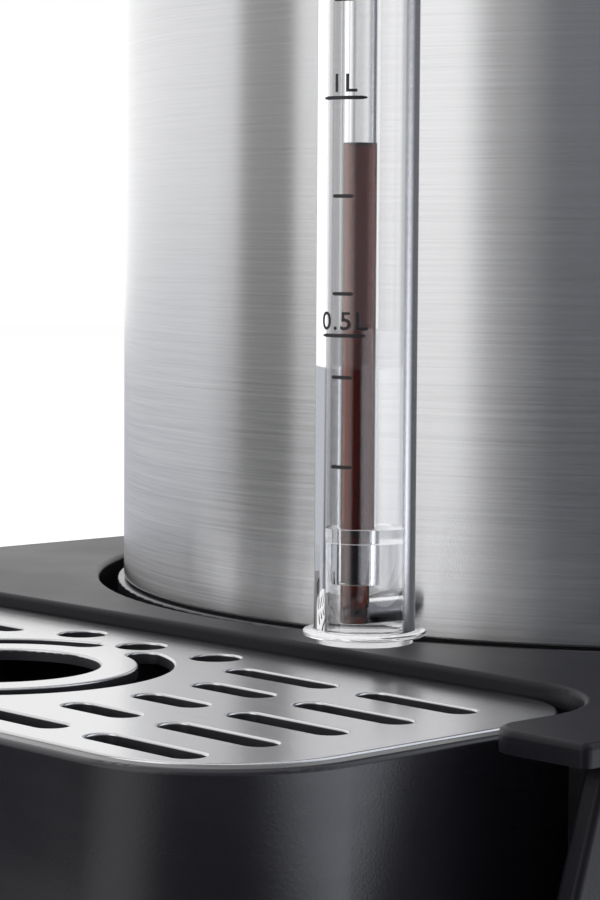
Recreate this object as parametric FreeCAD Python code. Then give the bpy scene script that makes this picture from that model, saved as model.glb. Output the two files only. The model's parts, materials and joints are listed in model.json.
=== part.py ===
import FreeCAD, Part

import math
import os

# Airpot on its drip stand. Millimetres, +Z up, the front is -Y.
# Everything is drawn around the airpot's upright axis with the floor at z = 0,
# and moved at the end so that the origin is the middle of the footprint.

# Stand
STAND_HEIGHT = 60.0         # floor to the top of the black plate
PLATE_T = 2.6
RECESS_SIDE_MARGIN = 7.7    # recess edge to the plate's side edges
RECESS_BACK_MARGIN = 10.2   # recess edge to the plate's rear edge
RECESS_STEP_MARGIN = 6.8    # recess edge to the step down to the grate
STAND_CORNER_R = 26.0
STEP_CORNER_R = 15.0
WING_LENGTH = 25.7          # step to the front of the plate's two wings
WING_CORNER_R = 1.0
WING_INNER_R = 4.4          # wings' front corners beside the tray
PLATE_EDGE_R = 0.8
RECESS_GAP = 2.8            # foot ring to the recess wall
RECESS_DEPTH = 9.0
RECESS_WALL = 2.2
SKIRT_INSET = 1.5
SKIRT_T = 3.0
SKIRT_LIFT = 2.5            # gap under the skirt
SKIRT_SETBACK = 5.0         # wings' front back to the side panels' front edge, at the top
LEG_SLOPE = 18.3            # degrees, the side panels run forward towards the floor
BASE_T = 3.0
FOOT_H = 4.0
FOOT_R = 8.0
POST_R = 5.5
POST_REACH = 58.0
BAY_WALL = 2.5
BASE_FIT = 0.2
BASE_SETBACK = 2.0
FRONT_FOOT_SETBACK = 5.0    # wings' front back to the front feet
REAR_FOOT_INSET = 24.0
FOOT_SIDE_GAP = 4.0
BAY_DEPTH = 14.0            # bay side walls end this far behind the wings' front
PAD_T = 0.8
PAD_WIDTH = 18.0
SCREW_R = 1.6
SCREW_HEAD_R = 3.2
SCREW_HEAD_H = 1.8
STAND_SCREW_GRIP = 11.0
COVER_SCREW_GRIP = 6.0
LID_SCREW_GRIP = 9.0

# Drip tray and grate
GRATE_HALF_W = 71.8
GRATE_DEPTH = 59.8          # step to the grate's front edge
GRATE_CORNER_R = 17.6
GRATE_DROP = 1.9            # grate's face below the plate's face
GRATE_T = 1.5
GRATE_FIT = 0.3
TRAY_WALL = 2.1
TRAY_FLOOR = 2.4
TRAY_LIP_DROP = 0.2         # tray's lip below the grate's face
TRAY_LEDGE = 2.6
TRAY_SIDE_GAP = 2.5
TRAY_GUIDE_FIT = 0.4
TRAY_GUIDE_H = 10.0
RING_OFFSET = 33.35         # step to the middle of the cup ring, under the spout
RING_HOLE_R = 13.4
RING_R = 18.1
RING_GAP_R = 22.6
RING_BRIDGE = 17.0          # degrees, half the angle of each bridge
SLOT_W = 4.04
ROW_PITCH = 10.14
ROWS = 5
OUTER_SLOT = (45.4, 63.3)
INNER_SLOT_END = 40.3
INNER_SLOT_STARTS = (21.8, 27.45, 28.75, 28.3, 21.8)
HOLE_R = 3.2
HOLE_SETBACK = 9.4          # step to the middle hole, on a circle about the airpot
HOLE_ANGLE = 7.9
SLOT_EDGE_R = 0.35

# Airpot body
BODY_R = 80.0
SHELL_T = 0.8
SHELL_H = 190.0             # plate's face to the shell's top edge
SHELL_DROP = 0.2            # shell's lower edge below the plate's face
INSULATION = 6.5            # between the vessel and the shell
VESSEL_T = 0.8
VESSEL_FLOOR = 11.0         # plate's face to the vessel's inside floor
VESSEL_FLOOR_R = 14.0
VESSEL_PAN_H = 6.4          # vessel's inside floor to the seam around its floor pan
SHOULDER_Z = 150.0          # plate's face to where the vessel starts to narrow
SHOULDER_H = 16.0
NECK_INSET = 10.7           # vessel's wall in to its neck
COVER_T = 1.8
COVER_SCREW_CIRCLE = 40.0
SPIGOT_INSET = 11.3         # foot ring's edge in to the cover's spigot
SPIGOT_H = 4.0
CUSHION_INSET = 7.0         # feed pipe's upright end in to the cushion
CUSHION_BORE_R = 18.0
SPIGOT_T = 2.5
TURN_FIT = 0.08
FOOT_RING_PROUD = 1.0       # foot ring outside the shell
FOOT_RING_DROP = 0.5        # foot ring's top below the plate's face

# Sight gauge
GAUGE_ANGLE = 17.24         # degrees to the right of the front
GAUGE_GAP = 2.55            # shell to the gauge's shield
SHIELD_R = 6.45
SHIELD_WALL = 1.3
SHIELD_LIFT = 1.2
FLANGE_R = 7.9
FLANGE_T = 0.7
TUBE_R = 2.4
TUBE_WALL = 1.0
TUBE_STANDOFF = 0.75        # shield's inside to the glass tube, which stands near the printed side
SOCKET_PLAY = 0.15
SOCKET_TOP = 13.2           # plate's face to the top of the lower socket
SOCKET_BASE_R = 6.2
TUBE_SEAT = 5.2
DUCT_R = 2.2
DUCT_WALL = 0.6
DUCT_BOSS_T = 0.45
DUCT_GAP = 0.4              # bottom cover to the feed pipe
DUCT_INSET = 10.7           # vessel's wall in to the feed pipe's upright end
GAUGE_DROP = 6.0            # shell's top edge down to the shield's upper end
CAP_R = 8.6
CAP_DEPTH = 6.0
CAP_ROOF = 3.0
SEAL_PLAY = 0.1
SEAL_H = 1.8

# Collar, neck insert and riser
COLLAR_PROUD = 1.5
COLLAR_H = 16.0
COLLAR_LIP = 7.0
COLLAR_WALL = 3.2
SHELL_FIT = 0.3
INSERT_FIT = 0.3
INSERT_T = 10.0
INSERT_STEP = 5.0
INSERT_LAND = 8.0
INSERT_SKIRT = 12.0
INSERT_WALL = 2.6
INSERT_BORE_INSET = 16.0    # neck's wall in to the mouth that the airpot is filled through
TUBE_BOSS_WALL = 4.0
GASKET_DROP = 8.0
GASKET_H = 4.0
GASKET_W = 1.5
RISER_INSET = 8.0           # neck's wall in to the riser's axis
RISER_R = 5.0
RISER_WALL = 1.0
RISER_LIFT = 4.0            # riser's lower end above the vessel's floor
RISER_SEAL_W = 2.0
RISER_SEAL_H = 2.4
LID_GASKET_W = 5.0
AIR_PORT_R = 5.0

# Lid and pump
LID_GAP = 0.4
LID_WALL = 2.5
LID_H = 50.0
LID_STRAIGHT = 30.0
LID_CROWN = 11.5            # lid's side in to its flat top
COVER_GAP = 1.0             # lid's lower edge up to its inner cover
INNER_COVER_T = 2.0
COVER_SCREW_OFFSET = 4.0    # neck's wall out to the lid's screws
COVER_BOSS_R = 4.0
WELL_INSET = 9.5            # riser's axis in to the pump's well
WELL_WALL = 2.0
WELL_FLOOR_T = 3.0
WELL_LIFT = 3.0
PUMP_FIT = 0.6
PUMP_RISE = 10.0
DISH_R = 220.0
DISH_DEPTH = 1.6
DISH_HOLE_R = 3.0
PUMP_TOP_T = 4.0
PUMP_SKIRT = 14.0
PUMP_SKIRT_T = 2.0
BELLOWS_GAP = 4.5           # well's wall in to the bellows
BELLOWS_FOLD = 6.0
BELLOWS_T = 1.0
BELLOWS_FOLDS = 7
SPRING_R = 18.0
SPRING_WIRE_R = 1.1
SPRING_TURNS = 6
VALVE_R = 9.0
VALVE_T = 2.0
NOSE_HALF_W = 17.0
NOSE_LOW = 12.0             # lid's lower edge to the nose's underside
NOSE_H = 28.0
NOSE_END = 10.0             # spout axis to the nose's tip
NOSE_ROUND = 6.0
PIPE_R = 4.5
PIPE_WALL = 0.9
PIPE_BEND = 12.0
PIPE_RISE = 26.0
PIPE_DROP = 6.0             # pipe's end below the lid's lower edge
NOZZLE_R = 8.0
NOZZLE_H = 16.0
LOCK_HALF_W = 8.0
LOCK_LENGTH = 14.0
LOCK_H = 4.0
LOCK_TONGUE_T = 2.0
LOCK_RAIL_W = 2.0
LOCK_RAIL_H = 2.2
LOCK_TRAVEL = 5.0
LATCH_HALF_W = 9.0
LATCH_H = 14.0
LATCH_PROUD = 2.5
LATCH_TRAVEL = 4.0
LATCH_LEG = 5.5
LATCH_SPRING_R = 3.5
LATCH_SPRING_WIRE_R = 0.5
LATCH_SPRING_L = 8.5
LATCH_SPRING_TURNS = 5
LATCH_PLATE = 9.0            # lid's side to the back of the latch's plate
RUN_FIT = 0.3
PRESS_FIT = 0.02

# Hinge and handle
HINGE_OFFSET = 4.5          # collar to the hinge axis
HINGE_RISE = 4.4            # collar's top to the hinge axis
KNUCKLE_R = 5.0
KNUCKLE_HALF = 13.7
EAR_W = 10.0
PIN_R = 2.5
PIN_FIT = 0.05
PIVOT_DROP = 8.0            # collar's top to the handle's pivots
PIVOT_PIN_R = 3.0
PIVOT_BOSS_R = 8.0
PIVOT_PROUD = 3.7
HANDLE_GAP = 0.4
HANDLE_T = 5.0
HANDLE_W = 12.0
HANDLE_CLEAR = 11.0         # lid's knuckle to the middle of the handle's bar
HANDLE_STOP_R = 1.8
HANDLE_STOP_REACH = 16.0
HANDLE_STOP_FIT = 0.1
HANDLE_BEND = 24.0
HANDLE_DROOP = 15.0         # degrees below level where the handle rests
GRIP_HALF = 42.0
GRIP_SKIN = 1.8

# Radii, reaches and heights that several pieces share
FOOT_RING_R = BODY_R + FOOT_RING_PROUD
RECESS_R = FOOT_RING_R + RECESS_GAP
STAND_HALF_W = RECESS_R + RECESS_SIDE_MARGIN
STAND_BACK = RECESS_R + RECESS_BACK_MARGIN
STEP_Y = RECESS_R + RECESS_STEP_MARGIN
WING_FRONT = STEP_Y + WING_LENGTH
SKIRT_FRONT = WING_FRONT - SKIRT_SETBACK
GRATE_FRONT = STEP_Y + GRATE_DEPTH
RING_REACH = STEP_Y + RING_OFFSET
HOLE_CIRCLE_R = STEP_Y + HOLE_SETBACK
BORE_R = BODY_R - SHELL_T - INSULATION
NECK_R = BORE_R - NECK_INSET
SPIGOT_R = FOOT_RING_R - SPIGOT_INSET
DUCT_REACH = BORE_R - DUCT_INSET
CUSHION_R = DUCT_REACH - CUSHION_INSET
GAUGE_REACH = BODY_R + GAUGE_GAP + SHIELD_R
SHIELD_BORE_R = SHIELD_R - SHIELD_WALL
TUBE_REACH = GAUGE_REACH + SHIELD_BORE_R - TUBE_STANDOFF - TUBE_R
SOCKET_R = SHIELD_BORE_R - SOCKET_PLAY
DUCT_Z = COVER_T + DUCT_GAP + DUCT_R
DUCT_BOSS_R = DUCT_R + DUCT_BOSS_T
COLLAR_R = BODY_R + COLLAR_PROUD
LID_TOP_R = COLLAR_R - LID_CROWN
RISER_REACH = NECK_R - RISER_INSET
INSERT_BORE_R = NECK_R - INSERT_BORE_INSET
COVER_SCREW_REACH = NECK_R + COVER_SCREW_OFFSET
WELL_R = RISER_REACH - WELL_INSET
BELLOWS_R = WELL_R - BELLOWS_GAP
HINGE_REACH = COLLAR_R + HINGE_OFFSET
HANDLE_REACH = HINGE_REACH + KNUCKLE_R + HANDLE_CLEAR
PLATE_Z = STAND_HEIGHT
GAUGE_TOP = SHELL_H - GAUGE_DROP
SHELL_BOTTOM = PLATE_Z - SHELL_DROP
SHELL_TOP = PLATE_Z + SHELL_H
COLLAR_TOP = SHELL_TOP + COLLAR_H
LID_BOTTOM = COLLAR_TOP + LID_GAP
LID_TOP = LID_BOTTOM + LID_H
GRATE_TOP = PLATE_Z - GRATE_DROP
GRATE_BOTTOM = GRATE_TOP - GRATE_T
BASE_TOP = FOOT_H + BASE_T
RECESS_FLOOR = PLATE_Z - RECESS_DEPTH
PAD_TOP = RECESS_FLOOR + PAD_T
VESSEL_FLOOR_Z = PLATE_Z + VESSEL_FLOOR
VESSEL_PAN_Z = VESSEL_FLOOR_Z + VESSEL_PAN_H
HINGE_Z = COLLAR_TOP + HINGE_RISE
PIVOT_Z = COLLAR_TOP - PIVOT_DROP
WELL_FLOOR_Z = LID_BOTTOM + WELL_LIFT + WELL_FLOOR_T
PUMP_TOP = LID_TOP + PUMP_RISE
PUMP_UNDER = PUMP_TOP - PUMP_TOP_T
TRAY_HALF_W = GRATE_HALF_W + GRATE_FIT + TRAY_WALL
BAY_HALF_W = TRAY_HALF_W + TRAY_SIDE_GAP
SKIRT_HALF_W = STAND_HALF_W - SKIRT_INSET
PLATE_UNDER = PLATE_Z - PLATE_T
HINGE_HALF = KNUCKLE_HALF + RUN_FIT + EAR_W


def vec(x, y, z):
    return FreeCAD.Vector(x, y, z)


def cylinder(r, z0, z1, x=0.0, y=0.0):
    return Part.makeCylinder(r, z1 - z0, vec(x, y, z0))


def rod(r, start, end):
    """A round bar from one point to another."""
    run = end.sub(start)
    return Part.makeCylinder(r, run.Length, start, run)


def ring(r_out, r_in, z0, z1, x=0.0, y=0.0):
    return cylinder(r_out, z0, z1, x, y).cut(cylinder(r_in, z0 - 1.0, z1 + 1.0, x, y))


def box(x0, x1, y0, y1, z0, z1):
    return Part.makeBox(x1 - x0, y1 - y0, z1 - z0, vec(x0, y0, z0))


def around(r, degrees):
    """The point at a radius, so many degrees to the right of the front."""
    a = math.radians(degrees)
    return r * math.sin(a), -r * math.cos(a)


def turned(profile):
    """A solid of revolution from (radius, z) points."""
    points = [vec(r, 0, z) for r, z in profile]
    face = Part.Face(Part.makePolygon(points + [points[0]]))
    return face.revolve(vec(0, 0, 0), vec(0, 0, 1), 360)


def prism(points, z0, z1):
    """An upright block on a plan outline of (x, y) points."""
    corners = [vec(x, y, z0) for x, y in points]
    face = Part.Face(Part.makePolygon(corners + [corners[0]]))
    return face.extrude(vec(0, 0, z1 - z0))


def side_prism(points, x0, x1):
    """A block on an outline of (y, z) points, from one x to another."""
    corners = [vec(x0, y, z) for y, z in points]
    face = Part.Face(Part.makePolygon(corners + [corners[0]]))
    return face.extrude(vec(x1 - x0, 0, 0))


def fuse(shapes):
    joined = shapes[0]
    for shape in shapes[1:]:
        joined = joined.fuse(shape)
    return joined.removeSplitter()


def upright_edges(shape, keep):
    """The vertical edges whose x and y pass a test."""
    found = []
    for edge in shape.Edges:
        ends = [v.Point for v in edge.Vertexes]
        if len(ends) != 2:
            continue
        flat = abs(ends[0].x - ends[1].x) < 1e-6 and abs(ends[0].y - ends[1].y) < 1e-6
        if flat and abs(ends[0].z - ends[1].z) > 1e-6 and keep(ends[0].x, ends[0].y):
            found.append(edge)
    return found


def rim_edges(shape, z):
    """The edges that lie flat at one height."""
    return [e for e in shape.Edges
            if all(abs(v.Point.z - z) < 1e-6 for v in e.Vertexes)
            and abs(e.BoundBox.ZMax - e.BoundBox.ZMin) < 1e-4]


def screw(x, y, z_head, length, up=True):
    """A pan-head screw; its head is at z_head and its shank runs up or down from it."""
    way = 1.0 if up else -1.0
    head = rod(SCREW_HEAD_R, vec(x, y, z_head), vec(x, y, z_head + way * SCREW_HEAD_H))
    shank = rod(SCREW_R, vec(x, y, z_head), vec(x, y, z_head + way * length))
    return head.fuse(shank)


# Stand

def plate_outline(inset=0.0):
    w = STAND_HALF_W - inset
    return [(-w, STAND_BACK - inset), (-w, -WING_FRONT), (w, -WING_FRONT), (w, STAND_BACK - inset)]


def post_places():
    a = POST_REACH / math.sqrt(2.0)
    return [(a, a), (-a, a), (a, -a), (-a, -a)]


def foot_places():
    x = SKIRT_HALF_W - SKIRT_T - FOOT_R - FOOT_SIDE_GAP
    back = STAND_BACK - REAR_FOOT_INSET
    front = FRONT_FOOT_SETBACK - WING_FRONT
    return [(x, back), (-x, back), (x, front), (-x, front)]


def stand_top():
    plate = prism(plate_outline(), PLATE_UNDER, PLATE_Z)
    rear = upright_edges(plate, lambda x, y: y > 0)
    plate = plate.makeFillet(STAND_CORNER_R, rear)
    opening = box(-BAY_HALF_W, BAY_HALF_W, -WING_FRONT - 1.0, -STEP_Y, PLATE_UNDER - 1.0, PLATE_Z + 1.0)
    opening = opening.makeFillet(STEP_CORNER_R, upright_edges(opening, lambda x, y: y > -WING_FRONT))
    plate = plate.cut(opening)
    for radius, near in ((WING_CORNER_R, STAND_HALF_W), (WING_INNER_R, BAY_HALF_W)):
        corners = upright_edges(plate, lambda x, y: y < -WING_FRONT + 0.1 and abs(abs(x) - near) < 0.1)
        plate = plate.makeFillet(radius, corners)
    cup_r = RECESS_R + RECESS_WALL
    body = plate.fuse(cylinder(cup_r, RECESS_FLOOR - RECESS_WALL, PLATE_UNDER))
    for x, y in post_places():
        body = body.fuse(cylinder(POST_R, BASE_TOP, RECESS_FLOOR, x, y))
    body = body.cut(cylinder(RECESS_R, RECESS_FLOOR, PLATE_Z + 1.0))
    for x, y in post_places():
        body = body.cut(cylinder(SCREW_R + 0.05, BASE_TOP - 1.0, BASE_TOP + STAND_SCREW_GRIP + 2.0, x, y))
    body = body.removeSplitter()
    return body.makeFillet(PLATE_EDGE_R, rim_edges(body, PLATE_Z))


def stand_skirt():
    w = SKIRT_HALF_W
    back = STAND_BACK - SKIRT_INSET
    front = STAND_HEIGHT + WING_FRONT
    outer = box(-w, w, -front, back, SKIRT_LIFT, PLATE_UNDER)
    outer = outer.makeFillet(STAND_CORNER_R - SKIRT_INSET, upright_edges(outer, lambda x, y: y > 0))
    w = w - SKIRT_T
    back = back - SKIRT_T
    inner = box(-w, w, -2.0 * front, back, 0.0, STAND_HEIGHT)
    inner = inner.makeFillet(STAND_CORNER_R - SKIRT_INSET - SKIRT_T, upright_edges(inner, lambda x, y: y > 0))
    run = STAND_HEIGHT * math.tan(math.radians(LEG_SLOPE))
    ahead = side_prism([(-SKIRT_FRONT, PLATE_UNDER), (-SKIRT_FRONT - run, PLATE_UNDER - STAND_HEIGHT),
                        (-4.0 * WING_FRONT, PLATE_UNDER - STAND_HEIGHT), (-4.0 * WING_FRONT, PLATE_UNDER)],
                       -STAND_HALF_W, STAND_HALF_W)
    skirt = outer.cut(inner).cut(ahead)
    slanted = [e for e in skirt.Edges if abs(e.tangentAt(e.FirstParameter).y) > 0.1
               and abs(e.tangentAt(e.FirstParameter).z) > 0.5]
    return skirt.makeFillet(0.8, slanted)


def base_front():
    return SKIRT_FRONT + (PLATE_UNDER - BASE_TOP) * math.tan(math.radians(LEG_SLOPE))


def base_panel():
    w = SKIRT_HALF_W - SKIRT_T - BASE_FIT
    back = STAND_BACK - SKIRT_INSET - SKIRT_T - BASE_FIT
    panel = box(-w, w, BASE_SETBACK - base_front(), back, FOOT_H, BASE_TOP)
    rear = upright_edges(panel, lambda x, y: y > 0)
    panel = panel.makeFillet(STAND_CORNER_R - SKIRT_INSET - SKIRT_T, rear)
    for x, y in post_places():
        panel = panel.cut(cylinder(SCREW_R + 0.2, 0.0, BASE_TOP + 1.0, x, y))
        panel = panel.cut(cylinder(SCREW_HEAD_R + 0.3, 0.0, FOOT_H + SCREW_HEAD_H, x, y))
    for x, y in foot_places():
        panel = panel.cut(cylinder(FOOT_R / 2.0, 0.0, BASE_TOP + 1.0, x, y))
    return panel


def tray_bay():
    back = STEP_Y - BAY_WALL
    front = WING_FRONT - BAY_DEPTH
    walls = [box(side * BAY_HALF_W if side > 0 else -BAY_HALF_W - BAY_WALL,
                 BAY_HALF_W + BAY_WALL if side > 0 else -BAY_HALF_W,
                 -front, -back, BASE_TOP, PLATE_UNDER) for side in (1, -1)]
    rear = box(-BAY_HALF_W, BAY_HALF_W, -STEP_Y + 0.3, -back, BASE_TOP, PLATE_UNDER)
    guide = TRAY_HALF_W + TRAY_GUIDE_FIT
    guides = [box(side * guide if side > 0 else -BAY_HALF_W, BAY_HALF_W if side > 0 else -guide,
                  -front, -STEP_Y + 0.3, BASE_TOP, BASE_TOP + TRAY_GUIDE_H) for side in (1, -1)]
    return fuse(walls + guides + [rear])


def stand_feet():
    feet = []
    for x, y in foot_places():
        disc = cylinder(FOOT_R, 0.0, FOOT_H, x, y)
        disc = disc.makeFillet(1.0, rim_edges(disc, 0.0))
        feet.append(disc.fuse(cylinder(FOOT_R / 2.0, FOOT_H, BASE_TOP, x, y)))
    return Part.makeCompound(feet)


def stand_screws():
    return Part.makeCompound([screw(x, y, FOOT_H, BASE_T + STAND_SCREW_GRIP) for x, y in post_places()])


def recess_pad():
    outer = RECESS_R - 2.0
    return ring(outer, outer - PAD_WIDTH, RECESS_FLOOR, PAD_TOP)


# Drip tray and grate

def tray_shape(inset, back_inset, z0, z1):
    """The tray's plan, straight at the back and with two round front corners."""
    w = TRAY_HALF_W - inset
    front = GRATE_FRONT + GRATE_FIT + TRAY_WALL - inset
    r = GRATE_CORNER_R + GRATE_FIT + TRAY_WALL - inset
    back = STEP_Y + GRATE_FIT + back_inset
    block = prism([(-w, -back), (-w, -front), (w, -front), (w, -back)], z0, z1)
    return block.makeFillet(r, upright_edges(block, lambda x, y: y < -back - 1.0))


def drip_tray():
    bottom = BASE_TOP
    lip = GRATE_TOP - TRAY_LIP_DROP
    body = tray_shape(0.0, 0.0, bottom, lip)
    body = body.cut(tray_shape(TRAY_WALL, TRAY_WALL, bottom + TRAY_FLOOR, lip + 1.0))
    ledge = tray_shape(TRAY_WALL, 0.0, GRATE_BOTTOM - 2.0, GRATE_BOTTOM)
    ledge = ledge.cut(tray_shape(TRAY_WALL + TRAY_LEDGE, TRAY_WALL, GRATE_BOTTOM - 3.0, GRATE_BOTTOM + 1.0))
    body = body.fuse(ledge)
    back = STEP_Y + GRATE_FIT
    under_plate = -back - STEP_CORNER_R
    notch = box(-TRAY_HALF_W - 1.0, TRAY_HALF_W + 1.0, under_plate, -back + 1.0, GRATE_BOTTOM, PLATE_Z)
    body = body.cut(notch).removeSplitter()
    outer_rim = [e for e in rim_edges(body, lip)
                 if e.BoundBox.YMin < -GRATE_FRONT - GRATE_FIT - TRAY_WALL + 0.01
                 or e.BoundBox.XMax > TRAY_HALF_W - 0.01 or e.BoundBox.XMin < -TRAY_HALF_W + 0.01]
    outer_rim = [e for e in outer_rim if e.Length > TRAY_WALL + 0.5]
    return body.makeFillet(0.7, outer_rim)


def slot(x0, x1, y, z0, z1):
    r = SLOT_W / 2.0
    middle = box(x0 + r, x1 - r, y - r, y + r, z0, z1)
    return fuse([middle, cylinder(r, z0, z1, x0 + r, y), cylinder(r, z0, z1, x1 - r, y)])


def ring_slot(side, z0, z1):
    """One of the two curved slots beside the cup ring, with round ends."""
    y = -RING_REACH
    mid = (RING_R + RING_GAP_R) / 2.0
    half = (RING_GAP_R - RING_R) / 2.0
    band = ring(RING_GAP_R, RING_R, z0, z1, 0.0, y)
    far = 2.0 * RING_GAP_R
    low = math.radians(RING_BRIDGE)
    edge = [(0.0, y), (far * math.sin(low), y + far * math.cos(low)), (2.0 * far, y + far),
            (2.0 * far, y - far), (far * math.sin(low), y - far * math.cos(low))]
    sector = prism(edge, z0, z1)
    piece = band.common(sector)
    for way in (1.0, -1.0):
        piece = piece.fuse(cylinder(half, z0, z1, mid * math.sin(low), y + way * mid * math.cos(low)))
    piece = piece.removeSplitter()
    return piece if side > 0 else piece.mirror(vec(0, 0, 0), vec(1, 0, 0))


def grate_cuts(z0, z1):
    cuts = [cylinder(RING_HOLE_R, z0, z1, 0.0, -RING_REACH)]
    cuts += [ring_slot(side, z0, z1) for side in (1, -1)]
    for row in range(ROWS):
        y = -RING_REACH + ((ROWS - 1) / 2.0 - row) * ROW_PITCH
        start = INNER_SLOT_STARTS[row]
        for x0, x1 in (OUTER_SLOT, (start, INNER_SLOT_END)):
            cuts += [slot(x0, x1, y, z0, z1), slot(-x1, -x0, y, z0, z1)]
    for step in (-1, 0, 1):
        x, y = around(HOLE_CIRCLE_R, step * HOLE_ANGLE)
        cuts.append(cylinder(HOLE_R, z0, z1, x, y))
    return cuts


def drip_grate():
    inset = TRAY_WALL + GRATE_FIT
    plate = tray_shape(inset, 0.1, GRATE_BOTTOM, GRATE_TOP)
    plate = plate.makeFillet(STEP_CORNER_R - inset, upright_edges(plate, lambda x, y: y > -STEP_Y - 1.0))
    for cut in grate_cuts(GRATE_BOTTOM - 1.0, GRATE_TOP + 1.0):
        plate = plate.cut(cut)
    return plate.makeFillet(SLOT_EDGE_R, rim_edges(plate, GRATE_TOP))


# Airpot body

def foot_ring():
    body = ring(FOOT_RING_R, SPIGOT_R + TURN_FIT, PAD_TOP, PLATE_Z - FOOT_RING_DROP)
    outer = [e for e in rim_edges(body, PLATE_Z - FOOT_RING_DROP) if e.BoundBox.XMax > FOOT_RING_R - 1.0]
    return body.makeFillet(0.4, outer)


def duct_hole(r, reach_in, reach_out):
    """A round bar along the feed pipe's level run."""
    x0, y0 = around(reach_in, GAUGE_ANGLE)
    x1, y1 = around(reach_out, GAUGE_ANGLE)
    z = PLATE_Z + DUCT_Z
    return rod(r, vec(x0, y0, z), vec(x1, y1, z))


def outer_shell():
    shell = ring(BODY_R, BODY_R - SHELL_T, SHELL_BOTTOM, SHELL_TOP)
    return shell.cut(duct_hole(DUCT_R + 0.3, BODY_R - 5.0, BODY_R + 5.0))


def bottom_cover():
    top = PLATE_Z + COVER_T
    under = PLATE_Z - FOOT_RING_DROP
    disc = cylinder(BODY_R - SHELL_T - 0.1, under, top)
    spigot = ring(SPIGOT_R, SPIGOT_R - SPIGOT_T, under - SPIGOT_H, under)
    cover = disc.fuse(spigot)
    for turn in range(3):
        x, y = around(COVER_SCREW_CIRCLE, 60.0 + 120.0 * turn)
        cover = cover.cut(cylinder(SCREW_R + 0.2, PLATE_Z - 1.0, top + 1.0, x, y))
    return cover.removeSplitter()


def bottom_screws():
    under = PLATE_Z - FOOT_RING_DROP - SCREW_HEAD_H
    return Part.makeCompound([screw(*around(COVER_SCREW_CIRCLE, 60.0 + 120.0 * turn), under,
                                    SCREW_HEAD_H + COVER_T + COVER_SCREW_GRIP) for turn in range(3)])


def vessel_cushion():
    body = ring(CUSHION_R, CUSHION_BORE_R, PLATE_Z + COVER_T, VESSEL_FLOOR_Z - VESSEL_T)
    for turn in range(3):
        x, y = around(COVER_SCREW_CIRCLE, 60.0 + 120.0 * turn)
        body = body.cut(cylinder(SCREW_R + 0.2, PLATE_Z, VESSEL_FLOOR_Z, x, y))
    return body


def bottle(grow):
    """The vessel's inside shape, or its outside when grown by the wall."""
    top = SHELL_TOP + (1.0 if grow == 0.0 else 0.0)
    floor = VESSEL_FLOOR_Z - grow
    r = VESSEL_FLOOR_R + grow
    side = BORE_R + grow
    neck = NECK_R + grow
    s0 = PLATE_Z + SHOULDER_Z
    s1 = s0 + SHOULDER_H
    a = vec(0, 0, floor)
    b = vec(side - r, 0, floor)
    c = vec(side - r * (1 - math.sqrt(0.5)), 0, floor + r * (1 - math.sqrt(0.5)))
    d = vec(side, 0, floor + r)
    e = vec(side, 0, s0)
    f = vec(neck, 0, s1)
    g = vec(neck, 0, top)
    h = vec(0, 0, top)
    bend = vec(side - 0.35 * (side - neck), 0, s0 + 0.65 * SHOULDER_H)
    edges = [Part.makeLine(a, b), Part.Arc(b, c, d).toShape(), Part.makeLine(d, e),
             Part.makeLine(e, bend), Part.makeLine(bend, f), Part.makeLine(f, g),
             Part.makeLine(g, h), Part.makeLine(h, a)]
    face = Part.Face(Part.Wire(edges))
    return face.revolve(vec(0, 0, 0), vec(0, 0, 1), 360)


def vessel_floor():
    """The vessel's floor pan, welded in its wall's foot."""
    body = bottle(VESSEL_T).cut(bottle(0.0))
    body = body.common(cylinder(BODY_R, PLATE_Z, VESSEL_PAN_Z))
    x, y = around(DUCT_REACH, GAUGE_ANGLE)
    return body.cut(cylinder(DUCT_R + 0.1, VESSEL_FLOOR_Z - 6.0, VESSEL_FLOOR_Z + 1.0, x, y))


def inner_vessel():
    """The vessel's wall, between its floor pan and its shoulder."""
    body = bottle(VESSEL_T).cut(bottle(0.0))
    return body.common(cylinder(BODY_R, VESSEL_PAN_Z, PLATE_Z + SHOULDER_Z))


def vessel_shoulder():
    """The vessel's shoulder and neck, welded on its wall."""
    body = bottle(VESSEL_T).cut(bottle(0.0))
    return body.common(cylinder(BODY_R, PLATE_Z + SHOULDER_Z, SHELL_TOP + 1.0))


def neck_ring():
    return ring(BODY_R - SHELL_T, NECK_R + VESSEL_T, SHELL_TOP - SHELL_T, SHELL_TOP)


def feed_pipe():
    """From the vessel's floor down and level out to the gauge's lower socket."""
    z = PLATE_Z + DUCT_Z
    x, y = around(DUCT_REACH, GAUGE_ANGLE)
    end = GAUGE_REACH - SOCKET_R
    outside = fuse([duct_hole(DUCT_R, DUCT_REACH, end), Part.makeSphere(DUCT_R, vec(x, y, z)),
                    cylinder(DUCT_R, z, VESSEL_FLOOR_Z, x, y)])
    bore = DUCT_R - DUCT_WALL
    inside = fuse([duct_hole(bore, DUCT_REACH, end + 1.0), Part.makeSphere(bore, vec(x, y, z)),
                   cylinder(bore, z, VESSEL_FLOOR_Z + 1.0, x, y)])
    return outside.cut(inside)


# Sight gauge

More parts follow.
